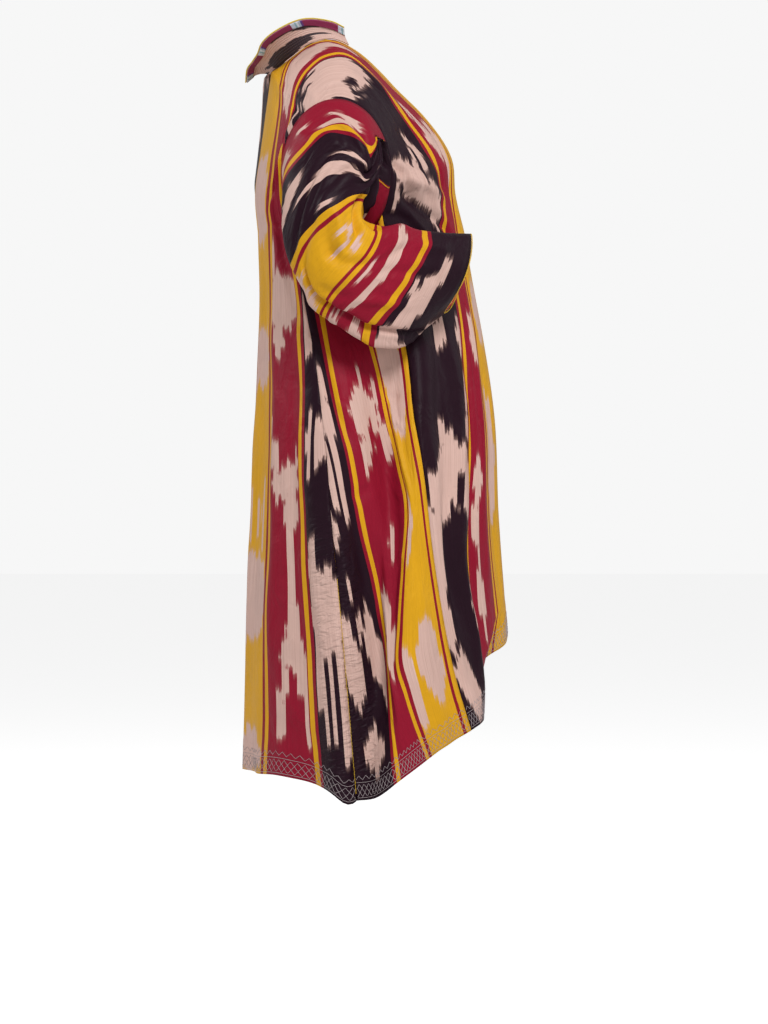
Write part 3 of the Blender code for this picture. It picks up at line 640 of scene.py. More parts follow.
def warp_ikat_group():
    """Node group: ground stripe from the width coordinate, blots from the blot distance,
    each thread's end shifted a little, streaks along the warp, and the height of the weave
    and of fine crumples."""
    tree = bpy.data.node_groups.new("warp ikat", "ShaderNodeTree")
    start, end = group_sockets(
        tree, (("Cloth", VECTOR_SOCKET, None), ("Blot", VALUE_SOCKET, -1.0),
               ("Crumple", VALUE_SOCKET, 1.0), ("Pucker", VALUE_SOCKET, 0.0)),
        (("Color", COLOUR_SOCKET), ("Roughness", VALUE_SOCKET), ("Height", VALUE_SOCKET)))
    part = node(tree, "ShaderNodeSeparateXYZ", {0: start.outputs["Cloth"]})
    u, v = part.outputs["X"], part.outputs["Y"]
    thread = maths(tree, "FLOOR", maths(tree, "DIVIDE", u, THREAD_PITCH))
    wander = noise(tree, flat_vector(tree, u, times(tree, v, 0.25)), 60.0)
    edge_u = maths(tree, "MULTIPLY_ADD", maths(tree, "SUBTRACT", wander, 0.5), 0.0012, u)
    place = maths(tree, "FRACT", maths(tree, "DIVIDE", edge_u, LOOM_WIDTH))
    starts = [0.0] + [row[0] / LOOM_WIDTH for row in GROUND_ROWS[:-1]]
    ground, tied = (ramp(tree, place, [(at, row[part]) for at, row in
                                       zip(starts, GROUND_ROWS)]) for part in (1, 2))
    own = noise(tree, flat_vector(tree, times(tree, thread, 7.31), times(tree, v, 14.0)), 1.0,
                1.0)
    reach = maths(tree, "MULTIPLY_ADD", maths(tree, "SUBTRACT", own, 0.5), DYE_CREEP,
                  start.outputs["Blot"])
    blot = times(tree, soft_step(tree, reach, -0.0018, 0.0022), tied)
    stain = times(tree, soft_step(tree, reach, -0.011, 0.001, 0.0, 0.28), tied)
    streak = noise(tree, flat_vector(tree, times(tree, u, 900.0), times(tree, v, 7.0)), 1.0)
    cloud = noise(tree, start.outputs["Cloth"], 14.0, 3.0)
    pale = blend_colour(tree, streak, PINK, PINK_LIT)
    dyed = blend_colour(tree, stain, ground, PINK)
    colour = blend_colour(tree, blot, dyed, pale)
    shade = maths(tree, "MULTIPLY_ADD", streak, 0.30, 0.76)
    shade = times(tree, shade, maths(tree, "MULTIPLY_ADD", cloud, 0.20, 0.94))
    shade = node(tree, "ShaderNodeCombineXYZ", {"X": shade, "Y": shade, "Z": shade}).outputs[0]
    crumple = noise(tree, flat_vector(tree, u, times(tree, v, 0.55)), 34.0, 3.0, 0.45, 0.8)
    fine = noise(tree, start.outputs["Cloth"], 130.0, 2.0, 0.5, 1.2)
    slant = maths(tree, "MULTIPLY_ADD", v, 40.0, times(tree, u, 45.0))
    drawn = noise(tree, flat_vector(tree, slant, times(tree, v, 120.0)), 1.0, 2.0, 0.5, 0.9)
    crumple = times(tree, crumple, start.outputs["Crumple"])
    drawn = times(tree, drawn, start.outputs["Pucker"])
    height = times(tree, crumple, CRUMPLE_HEIGHT)
    for field, metres in ((fine, FINE_HEIGHT), (drawn, PUCKER_HEIGHT),
                          (ridges(tree, v, WEFT_PITCH), RIB_HEIGHT), (streak, STREAK_HEIGHT)):
        height = maths(tree, "MULTIPLY_ADD", field, metres, height)
    feed(tree, end, {"Color": blend_colour(tree, 1.0, colour, shade, "MULTIPLY"),
                     "Roughness": maths(tree, "MULTIPLY_ADD", cloud, 0.14, 0.34),
                     "Height": height})
    return tree


ikat_group = warp_ikat_group()


def new_material(name):
    """A material with its node tree and its shader."""
    made = bpy.data.materials.new(name)
    made.use_nodes = True
    return made, made.node_tree, made.node_tree.nodes["Principled BSDF"]


def cloth_place(tree):
    """The piece's cloth coordinates: together, across the loom and along the warp."""
    place = node(tree, "ShaderNodeUVMap", uv_map="cloth").outputs["UV"]
    part = node(tree, "ShaderNodeSeparateXYZ", {0: place})
    return place, part.outputs["X"], part.outputs["Y"]


def relief(tree, shader, height, strength, distance):
    """Joins a height to the shader's normal through a Bump node."""
    bump_node = node(tree, "ShaderNodeBump",
                     {"Height": height, "Strength": strength, "Distance": distance})
    feed(tree, shader, {"Normal": bump_node.outputs["Normal"]})


def ikat_silk(name, crumple, pucker_u=None, pucker_v=None):
    """Silk's material: the ikat group on the piece's cloth coordinates, satin finish. The
    cloth is drawn up where u and v are between the limits given."""
    made, tree, shader = new_material(name)
    group = node(tree, "ShaderNodeGroup", node_tree=ikat_group)
    cloth, u, v = cloth_place(tree)
    blot = node(tree, "ShaderNodeAttribute", attribute_name="blot").outputs["Fac"]
    feed(tree, group, {"Cloth": cloth, "Blot": blot, "Crumple": crumple})
    if pucker_u:
        feed(tree, group, {"Pucker": times(tree, soft_step(tree, u, *pucker_u),
                                           soft_step(tree, v, *pucker_v))})
    feed(tree, shader, {"Base Color": group.outputs["Color"], "Specular IOR Level": 0.06,
                        "Roughness": group.outputs["Roughness"]})
    relief(tree, shader, group.outputs["Height"], 0.7, 1.0)
    return made


BLEED = 0.0022                 # neighbouring blots closer than this run together


def blot_distance(blots, bars, u, v, ragged=0.010):
    """Distance along the warp inside the nearest blot, for each bundle at each row: a blot
    reaches half_v above and below a slanting line, less towards its sides as one minus a
    power of the distance across, and each bundle ends at its own place. Bars are the same
    shapes left dyed inside a blot. One field each for a cell's left and right corners.
    A table row is u, v, half_u and half_v in millimetres, the power, and the slope if it
    slants."""
    middle_u = (u[:-1] + u[1:]) / 2.0
    cell = np.floor(middle_u / BUNDLE)
    result = []
    for across in (v[:, :-1], v[:, 1:]):
        field = np.full(across.shape, -0.05)
        for sign, table in ((1.0, blots), (-1.0, bars)):
            for index, (*sizes, full, slant) in enumerate((*row, 0)[:6] for row in table):
                cu, cv, half_u, half_v = np.array(sizes) / MM
                off = middle_u - cu
                profile = 1.0 - np.abs(off / half_u) ** float(full)
                luck = np.sin(cell * 12.9898 + index * 78.233 + cv * 31.7) * 43758.5453
                luck = luck - np.floor(luck)
                twin = np.sin(cell * 39.346 + index * 11.135 + cv * 17.3) * 24634.6345
                twin = twin - np.floor(twin)
                rough = np.minimum(ragged, half_v * 0.5)
                low = cv + slant * off - half_v * profile + rough * (luck - 0.5) * 2.0
                high = cv + slant * off + half_v * profile + rough * (twin - 0.5) * 2.0
                inside = np.where(profile > 0.0, np.minimum(across - low, high - across), -0.05)
                field = (np.logaddexp(field / BLEED, inside / BLEED) * BLEED if sign > 0.0
                         else np.minimum(field, -inside))
        result.append(np.clip(field, -0.05, 0.05))
    return result


def creases(table, u, v, ends=0.25):
    """Sum of soft ridges and troughs: each stands at its depth along a slightly wavering
    line between two points, falls off as a bell curve across it, and fades at its ends.
    A table row is u0, v0, u1, v1, depth and width."""
    total = np.zeros(v.shape)
    for index, (u0, v0, u1, v1, depth, width) in enumerate(table):
        line = np.array([u1 - u0, v1 - v0])
        length = np.hypot(*line)
        line /= length
        along = (u - u0) * line[0] + (v - v0) * line[1]
        across = (u - u0) * line[1] - (v - v0) * line[0]
        across = across + 0.25 * width * np.sin(along / (2.3 * width) + index * 1.7)
        fade = ease(along / (ends * length)) * ease((length - along) / (ends * length))
        total += depth * fade * np.exp(-(across / width) ** 2)
    return total

# Body lengths: worn
# The two lengths as cloth, creased where the sleeves draw it up, and dyed: the blots are
# charted. Turned in once at the hem and sewn to each other and to the panels.
HALF_GAP = SEAM_GAP / 2.0
HEM_DEPTH = 0.050              # cloth turned in once at the hem
LENGTH_CREASES = np.array((
    # front, under the sleeve and down the dark stripe
    (250, -60, 262, -660, -7, 14), (225, -140, 207, -760, 8, 14),
    (185, -100, 172, -760, -7.5, 11), (120, -50, 130, -680, 5, 18),
    (70, -150, 60, -640, -5, 15), (285, -300, 275, -780, 4.5, 10), (205, -200, 232, -500, 3, 8),
    (245, -160, 225, -360, -3, 7),
    # chest, drawn towards the armhole
    (300, 136, 245, 15, -8, 6), (290, 150, 232, 30, 4.5, 7), (300, 60, 150, -30, -7, 9),
    (300, 95, 160, 30, 5.5, 10), (280, 30, 180, -90, 5.5, 9), (240, -10, 235, -70, -4.5, 5),
    (218, 0, 205, -65, -4, 5), (120, 150, 95, -50, -4.5, 14), (240, 200, 150, 30, -4.5, 13),
    (290, 130, 220, 90, -4, 7), (255, 120, 190, 0, 3.5, 7), (200, 300, 150, 110, 4, 14),
    # shoulder and upper back
    (296, 420, 180, 500, -6, 10), (290, 380, 200, 430, 3.5, 10), (240, 470, 130, 640, 5, 12),
    (200, 520, 90, 660, -4.8, 11), (290, 300, 225, 270, -4, 10), (300, 340, 262, 350, -1.6, 6),
    (300, 362, 266, 372, 1.5, 6), (300, 318, 264, 322, 1.4, 6),
    # back
    (120, 700, 110, 1440, 5.2, 15), (165, 780, 160, 1460, -6, 13), (60, 620, 50, 1300, -5, 17),
    (205, 950, 212, 1500, 4.5, 11), (20, 900, 30, 1440, 3.5, 14), (140, 660, 190, 860, -4, 10),
    (185, 1050, 196, 1400, -2.8, 7), (100, 600, 150, 780, 4, 10),
)) / MM
# The left of the upper back stands out a little further, and the left length's other creases
# lie elsewhere, the hollow ones standing out
LEFT_FULLNESS = np.array(((150, 540, 165, 920, 15, 50), (45, 380, 60, 660, 22, 35))) / MM
LEFT_LENGTH_CREASES = np.concatenate([
    LEFT_FULLNESS,
    LENGTH_CREASES * (0.93, 1, 0.95, 1, -0.9, 1.1) + (0.01, -0.03, 0, 0.02, 0, 0)])
PUCKER_V = (1.10, 1.22)        # along the warp, where the back side seam is drawn up
HEM_RIDGE, SEAM_DIP = 0.0005, 0.0009
SLACK, SLACK_WAVES, SLACK_TOP = 0.0012, 90.0, 0.25    # long shallow waves above the hem


def piece_edges(width, low, high, reach=0.010):
    """0 at both cloth edges, rising to 1 over the reach, so that creases end at seams."""
    return ease((width - low) / reach) * ease((high - width) / reach)


def sewn_relief(table, width, run, hem):
    """Height of a piece's creases, which end at its seams, with the ridge of its turned
    hem and the dip beside its side seam."""
    low, high = width[:, :1], width[:, -1:]
    amount = creases(table, width, run) * piece_edges(width, low, high)
    amount += HEM_RIDGE * ease((HEM_DEPTH + 0.002 - hem) / 0.004)
    amount -= SEAM_DIP * (1.0 - ease((high - width) / 0.007))
    return amount


def length_form(table, hand):
    """Length's middle surface with its relief and slack waves. The hand is 1 for the
    right piece and -1 for the left."""
    low, high = length_width[:, :1], length_width[:, -1:]
    hem = np.minimum(length_run - length_run[:1], length_run[-1:] - length_run)
    amount = sewn_relief(table, length_width, length_run, hem)
    amount += SLACK * np.sin(length_width * SLACK_WAVES + hand * 2.0) * ease(
        (SLACK_TOP - hem) / SLACK_TOP) * piece_edges(length_width, low, high, 0.03)
    return draw_in(length_middle + length_out * amount[:, :, None],
                   (("first_column", HALF_GAP), ("last_column", HALF_GAP)))


LENGTH_BLOTS = (
    # front, dark stripe
    (237, -404, 45, 46, 5, -0.1), (256, -342, 5, 19, 3), (244, -354, 11, 15, 3),
    (202, -425, 12, 35, 5), (272, -445, 30, 36, 5), (288, -500, 18, 40, 5),
    (294, -540, 14, 55, 5), (297, -600, 9, 45, 5), (292, -645, 12, 42, 4),
    (268, -735, 36, 54, 2, 0.3), (202, -328, 11, 16, 3), (196, -273, 5, 28, 3),
    (200, -608, 10, 37, 2), (243, -184, 6, 26, 2), (234, -172, 4, 20, 2), (196, -180, 8, 30, 3),
    # front, crimson and yellow stripes
    (156, -406, 14, 37, 4), (161, -474, 10, 35, 4), (155, -589, 7, 75, 4),
    (59, -366, 14, 100, 4), (130, -180, 20, 40, 3, 0.3), (50, -130, 30, 50, 3),
    # chest
    (249, 74, 50, 38, 3, 0.85), (222, 130, 14, 32, 3), (205, 20, 10, 32, 3),
    (288, 45, 6, 27, 2), (165, 215, 8, 30, 2), (150, 185, 10, 25, 2),
    (150, 135, 20, 33, 3, 0.5), (115, 110, 20, 45, 3, 0.5),
    # shoulder
    (248, 375, 56, 95, 9), (137, 430, 28, 80, 6, 0.4), (125, 345, 14, 38, 3),
    (205, 500, 7, 28, 3), (216, 545, 5, 28, 3),
    # back, yellow stripe
    (60, 643, 27, 60, 6), (45, 880, 45, 42, 6), (25, 1125, 3.2, 52, 4), (43, 1130, 3.2, 56, 4),
    (61, 1120, 3.2, 50, 4), (77, 1130, 3.2, 55, 4), (46, 1257, 45, 68, 6),
    (44, 1500, 46, 34, 4),
    # back, crimson stripe
    (140, 798, 40, 44, 6), (108, 729, 10, 30, 4), (130, 854, 14, 24, 4), (105, 989, 6, 20, 6),
    (116, 1032, 14, 25, 6), (142, 1079, 32, 25, 6), (168, 1045, 6, 24, 4),
    (156, 1126, 18, 24, 6), (152, 1210, 5, 82, 6), (154, 1299, 12, 24, 6),
    (152, 1339, 22, 25, 6), (139, 1382, 8, 26, 6), (167, 1381, 9, 32, 6), (173, 1440, 4, 45, 6),
    (129, 1436, 9, 40, 6),
    # back, dark stripe
    (200, 841, 6, 50, 3), (203, 1022, 6, 51, 6), (221, 1026, 8, 35, 6), (203, 1215, 12, 42, 5),
    (220, 1285, 30, 62, 6), (200, 1375, 5, 57, 6), (210, 1400, 4, 79, 6), (221, 1400, 4, 77, 6),
    (236, 1410, 8, 105, 6),
    # back, dark stripe: only the left length shows these, next to the centre seam
    (282, 560, 20, 42, 5), (262, 640, 12, 34, 4), (290, 840, 9, 46, 5), (272, 870, 9, 30, 5),
    (268, 1040, 13, 50, 5), (284, 1090, 7, 55, 5), (280, 1280, 18, 44, 5),
    (264, 1345, 6, 60, 6), (290, 1370, 5, 70, 6), (277, 1520, 14, 50, 5),
)
LENGTH_BARS = (
    (225, -430, 8, 30, 3), (227, 100, 3.8, 36, 4), (305, -425, 10, 50, 2),
    (256, 308, 10, 24, 3), (270, 287, 10, 20, 3), (202, 430, 6, 34, 3), (214, 455, 6, 30, 3),
    (226, 440, 5, 32, 3), (237, 470, 4, 26, 3),
)
length_sheets = {}
for side, hand, shift, table, pucker_u in (
        ("right", 1.0, 0.0, LENGTH_CREASES, (0.180, 0.215)),
        ("left", -1.0, 0.13, LEFT_LENGTH_CREASES, (0.124, 0.089))):
    # the left piece carries on the loom's repeat, so it isn't a mirror image of the right
    u = length_width if hand > 0.0 else LOOM_WIDTH - length_width
    cells = bundles if hand > 0.0 else LOOM_WIDTH - bundles
    length_sheets[side] = length_form(table, hand)
    marks = blot_distance(LENGTH_BLOTS, LENGTH_BARS, cells, length_run + shift)
    length = cloth_wall("length_" + side, length_sheets[side], length_out, WALL, u,
                        length_run, marks, hand < 0.0)
    length.data.materials.append(ikat_silk("length silk " + side, 1.0, pucker_u,
                                           PUCKER_V))
    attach(length, "root")
    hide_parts("body_length_" + side)

# Side panels: worn
# The two panels as cloth of the same silk, sewn between the lengths' side edges and turned
# in at the hem. They hang in long upright creases.
PANEL_CREASES = np.array((
    (215, -140, 176, -340, -8, 8), (235, -120, 205, -300, 5.5, 10),
    (160, -200, 150, -820, 6, 15), (120, -160, 125, -700, -6, 12),
    (200, -350, 205, -840, -6.5, 13), (240, -300, 245, -800, 4.5, 12),
    (75, -200, 70, -450, 4.5, 12), (50, -500, 45, -840, 5, 14), (90, -230, 40, -260, -3.5, 6),
    (85, -270, 35, -310, 3.2, 6), (175, -450, 150, -600, -3.5, 9),
    (230, -520, 190, -600, 3.2, 8), (150, -380, 210, -430, -3, 8),
    (100, -480, 150, -520, 2.5, 8),
)) / MM


def panel_form(table):
    """Side panel's middle surface with its relief, flat at the underarm."""
    amount = sewn_relief(table, panel_width, panel_run, panel_run - panel_run[-1:])
    amount *= ease((-panel_run + 0.001) / 0.02)
    return draw_in(panel_middle + panel_out * amount[:, :, None],
                   (("first_row", 0.0015), ("first_column", HALF_GAP),
                    ("last_column", HALF_GAP)))


PANEL_BLOTS = (
    # dark stripe
    (209, -254, 10, 30, 4), (213, -314, 12, 38, 6), (230, -406, 8, 56, 6),
    (212, -412, 6, 68, 6), (244, -481, 5, 27, 3), (240, -572, 5, 18, 3),
    (256, -688, 20, 72, 2, 1), (232, -632, 6, 22, 4), (210, -661, 14, 55, 4),
    (200, -723, 6, 24, 4), (231, -826, 26, 42, 1),
    # crimson stripe
    (139, -273, 30, 44, 2, -0.17), (136, -214, 5, 22, 4), (113, -226, 6, 18, 4),
    (156, -337, 10, 26, 4), (108, -307, 9, 26, 4), (131, -471, 6, 24, 3),
    (158, -582, 18, 40, 4), (138, -632, 18, 37, 4),
    # yellow stripe
    (50, -209, 40, 56, 6, 0.6), (48, -275, 36, 41, 3, 0.3), (79, -452, 10, 49, 3),
    (43, -667, 24, 62, 3, 0.7), (82, -695, 10, 72, 3),
)
PANEL_BARS = ((134, -300, 5, 28, 3),)
panel_silk = ikat_silk("panel silk", 1.0, (0.205, 0.245), (-0.36, -0.50))
panel_sheets = {}
# the left panel's creases lie elsewhere, are less deep and are wider
LEFT_PANEL_CREASES = PANEL_CREASES * (0.95, 1, 1.02, 1, 0.9, 1.1) + (0, 0.02, 0, -0.01, 0, 0)
for side, hand, shift, table in (("right", 1.0, 0.0, PANEL_CREASES),
                                 ("left", -1.0, 0.09, LEFT_PANEL_CREASES)):
    panel_sheets[side] = panel_form(table)
    marks = blot_distance(PANEL_BLOTS, PANEL_BARS, bundles, panel_run + shift)
    panel = cloth_wall("panel_" + side, panel_sheets[side], panel_out, WALL, panel_width,
                       panel_run, marks, hand < 0.0)
    panel.data.materials.append(panel_silk)
    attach(panel, "root")
    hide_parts("side_panel_" + side)

# Sleeves: worn
# The two sleeves as cloth of the same silk, the warp running round them. They are sewn to
# the armhole's edge and crease at the cap, inside the elbow and along the underside.
CUFF_PLAIN, CUFF_FADE, ARMHOLE_FADE = 0.026, 0.022, 0.015    # where the creases fade
SLEEVE_CREASES = np.array((
    # cap of the sleeve, and the deep crease between sleeve and chest
    (170, 10, 330, 0, -14, 11), (160, 52, 330, 36, 8, 14), (150, 130, 290, 110, -7, 11),
    (145, 170, 250, 140, 5.5, 12), (160, 95, 280, 80, 5, 11), (180, 200, 320, 170, -5, 12),
    (200, 160, 300, 140, -3.5, 8), (140, 220, 230, 200, 4, 10),
    # inner elbow
    (300, 20, 372, 60, -15, 9), (325, 0, 405, 30, -11, 9), (310, 75, 380, 92, 7, 10),
    (345, 125, 375, 45, -6, 7), (300, 110, 330, 180, -5.5, 11), (380, 60, 400, 150, 4.5, 9),
    (280, 130, 320, 70, 5, 9),
    # lower sleeve and the slack cloth hanging under it
    (400, 30, 545, 50, 5, 12), (420, 90, 540, 100, -4.5, 11), (320, 172, 420, 180, -11, 5),
    (390, 174, 500, 206, -12, 5), (470, 202, 556, 192, -11, 5), (340, 196, 440, 204, 7, 9),
    (410, 200, 510, 228, 7.5, 9), (480, 226, 552, 214, 6, 9), (430, 150, 520, 155, 4.5, 10),
    (360, 160, 440, 150, -3, 9), (430, 60, 480, 130, -3.5, 8),
    # inner side
    (180, 330, 420, 350, -7, 14), (200, 420, 520, 440, 6.5, 15), (300, 500, 500, 480, -6, 12),
    (250, -30, 420, -45, 5, 10),
)) / MM


def sleeve_form(table):
    """Sleeve's middle surface with its creases, which fade at the armhole and the cuff."""
    width = np.broadcast_to(sleeve_bundles, sleeve_run.shape)
    around = sleeve_run[-1] - sleeve_run[0]
    amount = sum(creases(table, width, sleeve_run + turn * around) for turn in (-1, 0, 1))
    amount = amount * ease(sleeve_down / ARMHOLE_FADE) * ease(
        (SLEEVE_LENGTH - CUFF_PLAIN - sleeve_down) / CUFF_FADE)
    amount[-1] = amount[0]
    return draw_in(sleeve_middle + sleeve_out * amount[:, :, None],
                   (("first_column", HALF_GAP),))


SLEEVE_BLOTS = (
    (161, 150, 6, 23, 3), (168, 130, 5, 20, 3), (175, 172, 4, 22, 2), (156, 212, 4, 10, 2),
    (160, 290, 12, 40, 3),
    # dark stripe, upper sleeve
    (248, 118, 9, 20, 3, -0.9), (252, 152, 11, 34, 3, -0.8), (251, 203, 4, 36, 2),
    (255, 84, 5, 20, 3), (226, 160, 7, 17, 2), (297, 108, 4, 12, 2), (201, 26, 6, 14, 2),
    (240, 330, 30, 60, 3, 0.8), (270, 430, 18, 40, 2),
    # yellow stripe, elbow
    (356, 94, 4, 23, 2), (348, 66, 10, 10, 3, 0.9), (339, 82, 4, 11, 2), (371, 66, 7, 12, 2),
    (352, 212, 32, 30, 6), (340, 300, 20, 45, 3, 0.3), (350, 420, 25, 60, 3),
    # crimson stripe, lower sleeve
    (443, 98, 6, 80, 8), (446, 58, 10.5, 52, 4), (453, 82, 6, 28, 2), (417, 98, 6, 18, 2),
    (428, 225, 18, 32, 3, 1.2), (468, 235, 12, 30, 3), (440, 300, 22, 30, 3, -0.4),
    (445, 430, 20, 60, 3),
    # dark stripe, cuff
    (529, 88, 7, 30, 3), (521, 125, 10, 36, 4), (513, 165, 10, 40, 4), (501, 119, 5, 14, 2),
    (508, 240, 16, 42, 6), (550, 220, 12, 36, 4), (525, 420, 22, 50, 3),
)
sleeve_silk = ikat_silk("sleeve silk", 1.2)
# the left sleeve's creases lie elsewhere, are less deep and are wider
LEFT_SLEEVE_CREASES = (SLEEVE_CREASES * (0.97, 1, 1.01, 1, 0.85, 1.15)
                       + (0, 0.015, 0, -0.01, 0, 0))
for side, hand, shift, table in (("right", 1.0, 0.0, SLEEVE_CREASES),
                                 ("left", -1.0, 0.06, LEFT_SLEEVE_CREASES)):
    marks = blot_distance(SLEEVE_BLOTS, (), sleeve_bundles, sleeve_run + shift)
    sleeve = cloth_wall("sleeve_cloth_" + side, sleeve_form(table), sleeve_out, WALL,
                        sleeve_bundles, sleeve_run, marks, hand < 0.0)
    sleeve.data.materials.append(sleeve_silk)
    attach(sleeve, "root")
    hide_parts("sleeve_" + side)

# Cuff pipings
# A thin cord of two twisted yellow silk strands, laid along each cuff's slanting edge and
# sewn down over it.
HANDS = (("right", 1.0), ("left", -1.0))


def twisted_cord(name, path, side, up, size, step, closed, strands=2, sections=10,
                 turns_per_metre=220.0):
    """Cord of strands round a path: its section is a circle whose radius swells with the
    cosine of the angle times the number of strands, turning evenly along the path."""
    run = run_along(path)
    want = np.linspace(0.0, run[-1], int(run[-1] / step) + 1)
    path, side, up = (at_run(want, run, field) for field in (path, side, up))
    side, up = unit(side), unit(up)
    turn = np.linspace(0.0, 2.0 * np.pi, sections + 1)
    twist = 2.0 * np.pi * want * (np.round(turns_per_metre * run[-1]) / run[-1])
    swell = 0.40 + 0.10 * np.cos(strands * (turn[None] - twist[:, None]))
    grid = path[:, None] + size * swell[:, :, None] * (
        side[:, None] * np.cos(turn)[None, :, None] + up[:, None] * np.sin(turn)[None, :, None])
    grid[:, -1] = grid[:, 0]
    index = np.arange(len(want) * sections).reshape(-1, sections)
    index = np.concatenate([index, index[:, :1]], 1)
    cloth = np.broadcast_arrays(turn / (2.0 * np.pi), want[:, None])
    if closed:
        index = np.concatenate([index[:-1], index[:1]])
    quads = cell_corners(index).reshape(-1, 4)
    corner = np.stack([cell_corners(field) for field in cloth], -1).reshape(-1, 4, 2)
    points = grid[:, :-1].reshape(-1, 3)
    face = np.cross(points[quads[:, 2]] - points[quads[:, 0]],
                    points[quads[:, 3]] - points[quads[:, 1]])
    if (face * (points[quads[:, 0]] - np.repeat(path, sections, 0)[quads[:, 0]])).sum() < 0.0:
        quads, corner = quads[:, ::-1], corner[:, ::-1]
    ends = [] if closed else [index[0, :sections].tolist(), index[-1, :sections].tolist()[::-1]]
    uv = np.concatenate([corner.reshape(-1, 2), np.zeros((len(ends) * sections, 2))])
    return mesh_object(name, points, quads.tolist() + ends,
                       np.ones(len(quads) + len(ends), bool), uv)


def thread_finish(name, colour, dark, roughness):
    """Spun thread: two tones streaked along the cord, fine height."""
    made, tree, shader = new_material(name)
    place = node(tree, "ShaderNodeTexCoord").outputs["Object"]
    grain = noise(tree, place, 900.0)
    feed(tree, shader, {"Base Color": blend_colour(tree, grain, dark, colour),
                        "Roughness": roughness})
    relief(tree, shader, grain, 0.3, 0.0004)
    return made


PIPING_SIZE, PIPING_GAP = 0.0022, 0.0009
CORD_STEP = 0.0006             # between the sections of a cord
yellow_thread = thread_finish("yellow thread", hexed("E6BE2C"), hexed("B98A18"), 0.5)
cuff = sleeve_middle[:-1, -1]
round_cuff = unit(np.roll(cuff, -1, axis=0) - np.roll(cuff, 1, axis=0))
outward = sleeve_out[:-1, -1]
onward = unit(np.cross(round_cuff, outward))
onward *= np.sign((onward * (cuff - sleeve_middle[:-1, -2])).sum())
outward = unit(np.cross(onward, round_cuff))
outward *= np.sign((outward * sleeve_out[:-1, -1]).sum())
piping_path = cuff + onward * (PIPING_GAP + PIPING_SIZE / 2.0)
closed = [np.concatenate([field, field[:1]]) for field in (piping_path, outward, onward)]
for side, hand in HANDS:
    away = np.array([hand, 1.0, 1.0])
    piping = twisted_cord("piping_" + side, *(field * away for field in closed),
                          PIPING_SIZE, CORD_STEP, True)
    piping.data.materials.append(yellow_thread)
    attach(piping, "root")
    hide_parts("cuff_piping_" + side)

# Cuff facings
# A narrow strip of red-orange patterned cotton inside each cuff, turned in and sewn to the
# sleeve along both edges.
FACING_WALL, FACING_GAP, FACING_WIDTH = 0.0010, 0.0005, 0.024
facing_back = np.linspace(FACING_WIDTH, 0.0, 5)      # distance back from the cuff
every = np.arange(len(sleeve_down))
facing_rows, facing_normals = [], []
for back in facing_back:
    at = np.array([np.interp(SLEEVE_LENGTH - back, row, np.arange(len(row)))
                   for row in sleeve_down])
    low = np.minimum(at.astype(int), SLEEVE_BUNDLES - 1)
    part = (at - low)[:, None]
    for field, found in ((sleeve_middle, facing_rows), (sleeve_out, facing_normals)):
        found.append(field[every, low] * (1 - part) + field[every, low + 1] * part)
facing_out = unit(np.stack(facing_normals, 1))
facing_out[-1] = facing_out[0]
facing_middle = np.stack(facing_rows, 1) - facing_out * (
    WALL / 2.0 + FACING_GAP + FACING_WALL / 2.0)
facing_middle[-1] = facing_middle[0]
facing_v = lie(facing_middle, 0)


def facing_cotton():
    """Red-orange cotton with small pale spots in the print, matt."""
    made, tree, shader = new_material("facing cotton")
    place = node(tree, "ShaderNodeUVMap", uv_map="cloth").outputs["UV"]
    spots = node(tree, "ShaderNodeTexVoronoi", {"Vector": place, "Scale": 170.0}
                 ).outputs["Distance"]
    spot = soft_step(tree, spots, 0.30, 0.22)
    grain = noise(tree, place, 1400.0)
    base = blend_colour(tree, grain, hexed("B92A1E"), hexed("DE4A33"))
    feed(tree, shader, {"Base Color": blend_colour(tree, spot, base, hexed("F0A077")),
                        "Roughness": 0.8})
    relief(tree, shader, grain, 0.3, 0.0003)
    return made


cotton = facing_cotton()
for side, hand in HANDS:
    facing = cloth_wall("facing_" + side, facing_middle, facing_out, FACING_WALL,
                        SLEEVE_LENGTH - facing_back, facing_v, None, hand < 0.0)
    facing.data.materials.append(cotton)
    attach(facing, "root")
    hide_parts("cuff_facing_" + side)

# Hem stitching
# The turned hem is held by decorative rows sewn with a greyish thread: a wavy row, two
# straight rows, and between them a lattice of crossing zigzags.
def hem_table(sheet, normals, from_hem, reach=0.060, step=0.0005):
    """Points and normals at even distances above the hem in every column of a sheet, whose
    rows start at the hem."""
    depth = np.arange(0.0, reach, step)
    return [np.stack([at_run(depth, from_hem[:, j], field[:, j])
                      for j in range(field.shape[1])], 1) for field in (sheet, normals)]


def sewn_rows(table, width, depth_of, spacing=0.0009, step=0.0005, inset=0.0025):
    """Path of one sewn row: its distance above the hem is a function of the distance along
    it. The table is read between its four nearest points."""
    along = np.arange(width.min() + inset, width.max() - inset, spacing)
    row = depth_of(along) / step
    column = np.interp(along, width, np.arange(len(width)))
    r = np.minimum(row.astype(int), len(table[0]) - 2)
    c = np.minimum(column.astype(int), len(width) - 2)
    fr, fc = (row - r)[:, None], (column - c)[:, None]
    return [(f[r, c] * (1 - fr) + f[r + 1, c] * fr) * (1 - fc)
            + (f[r, c + 1] * (1 - fr) + f[r + 1, c + 1] * fr) * fc for f in table] + [along]


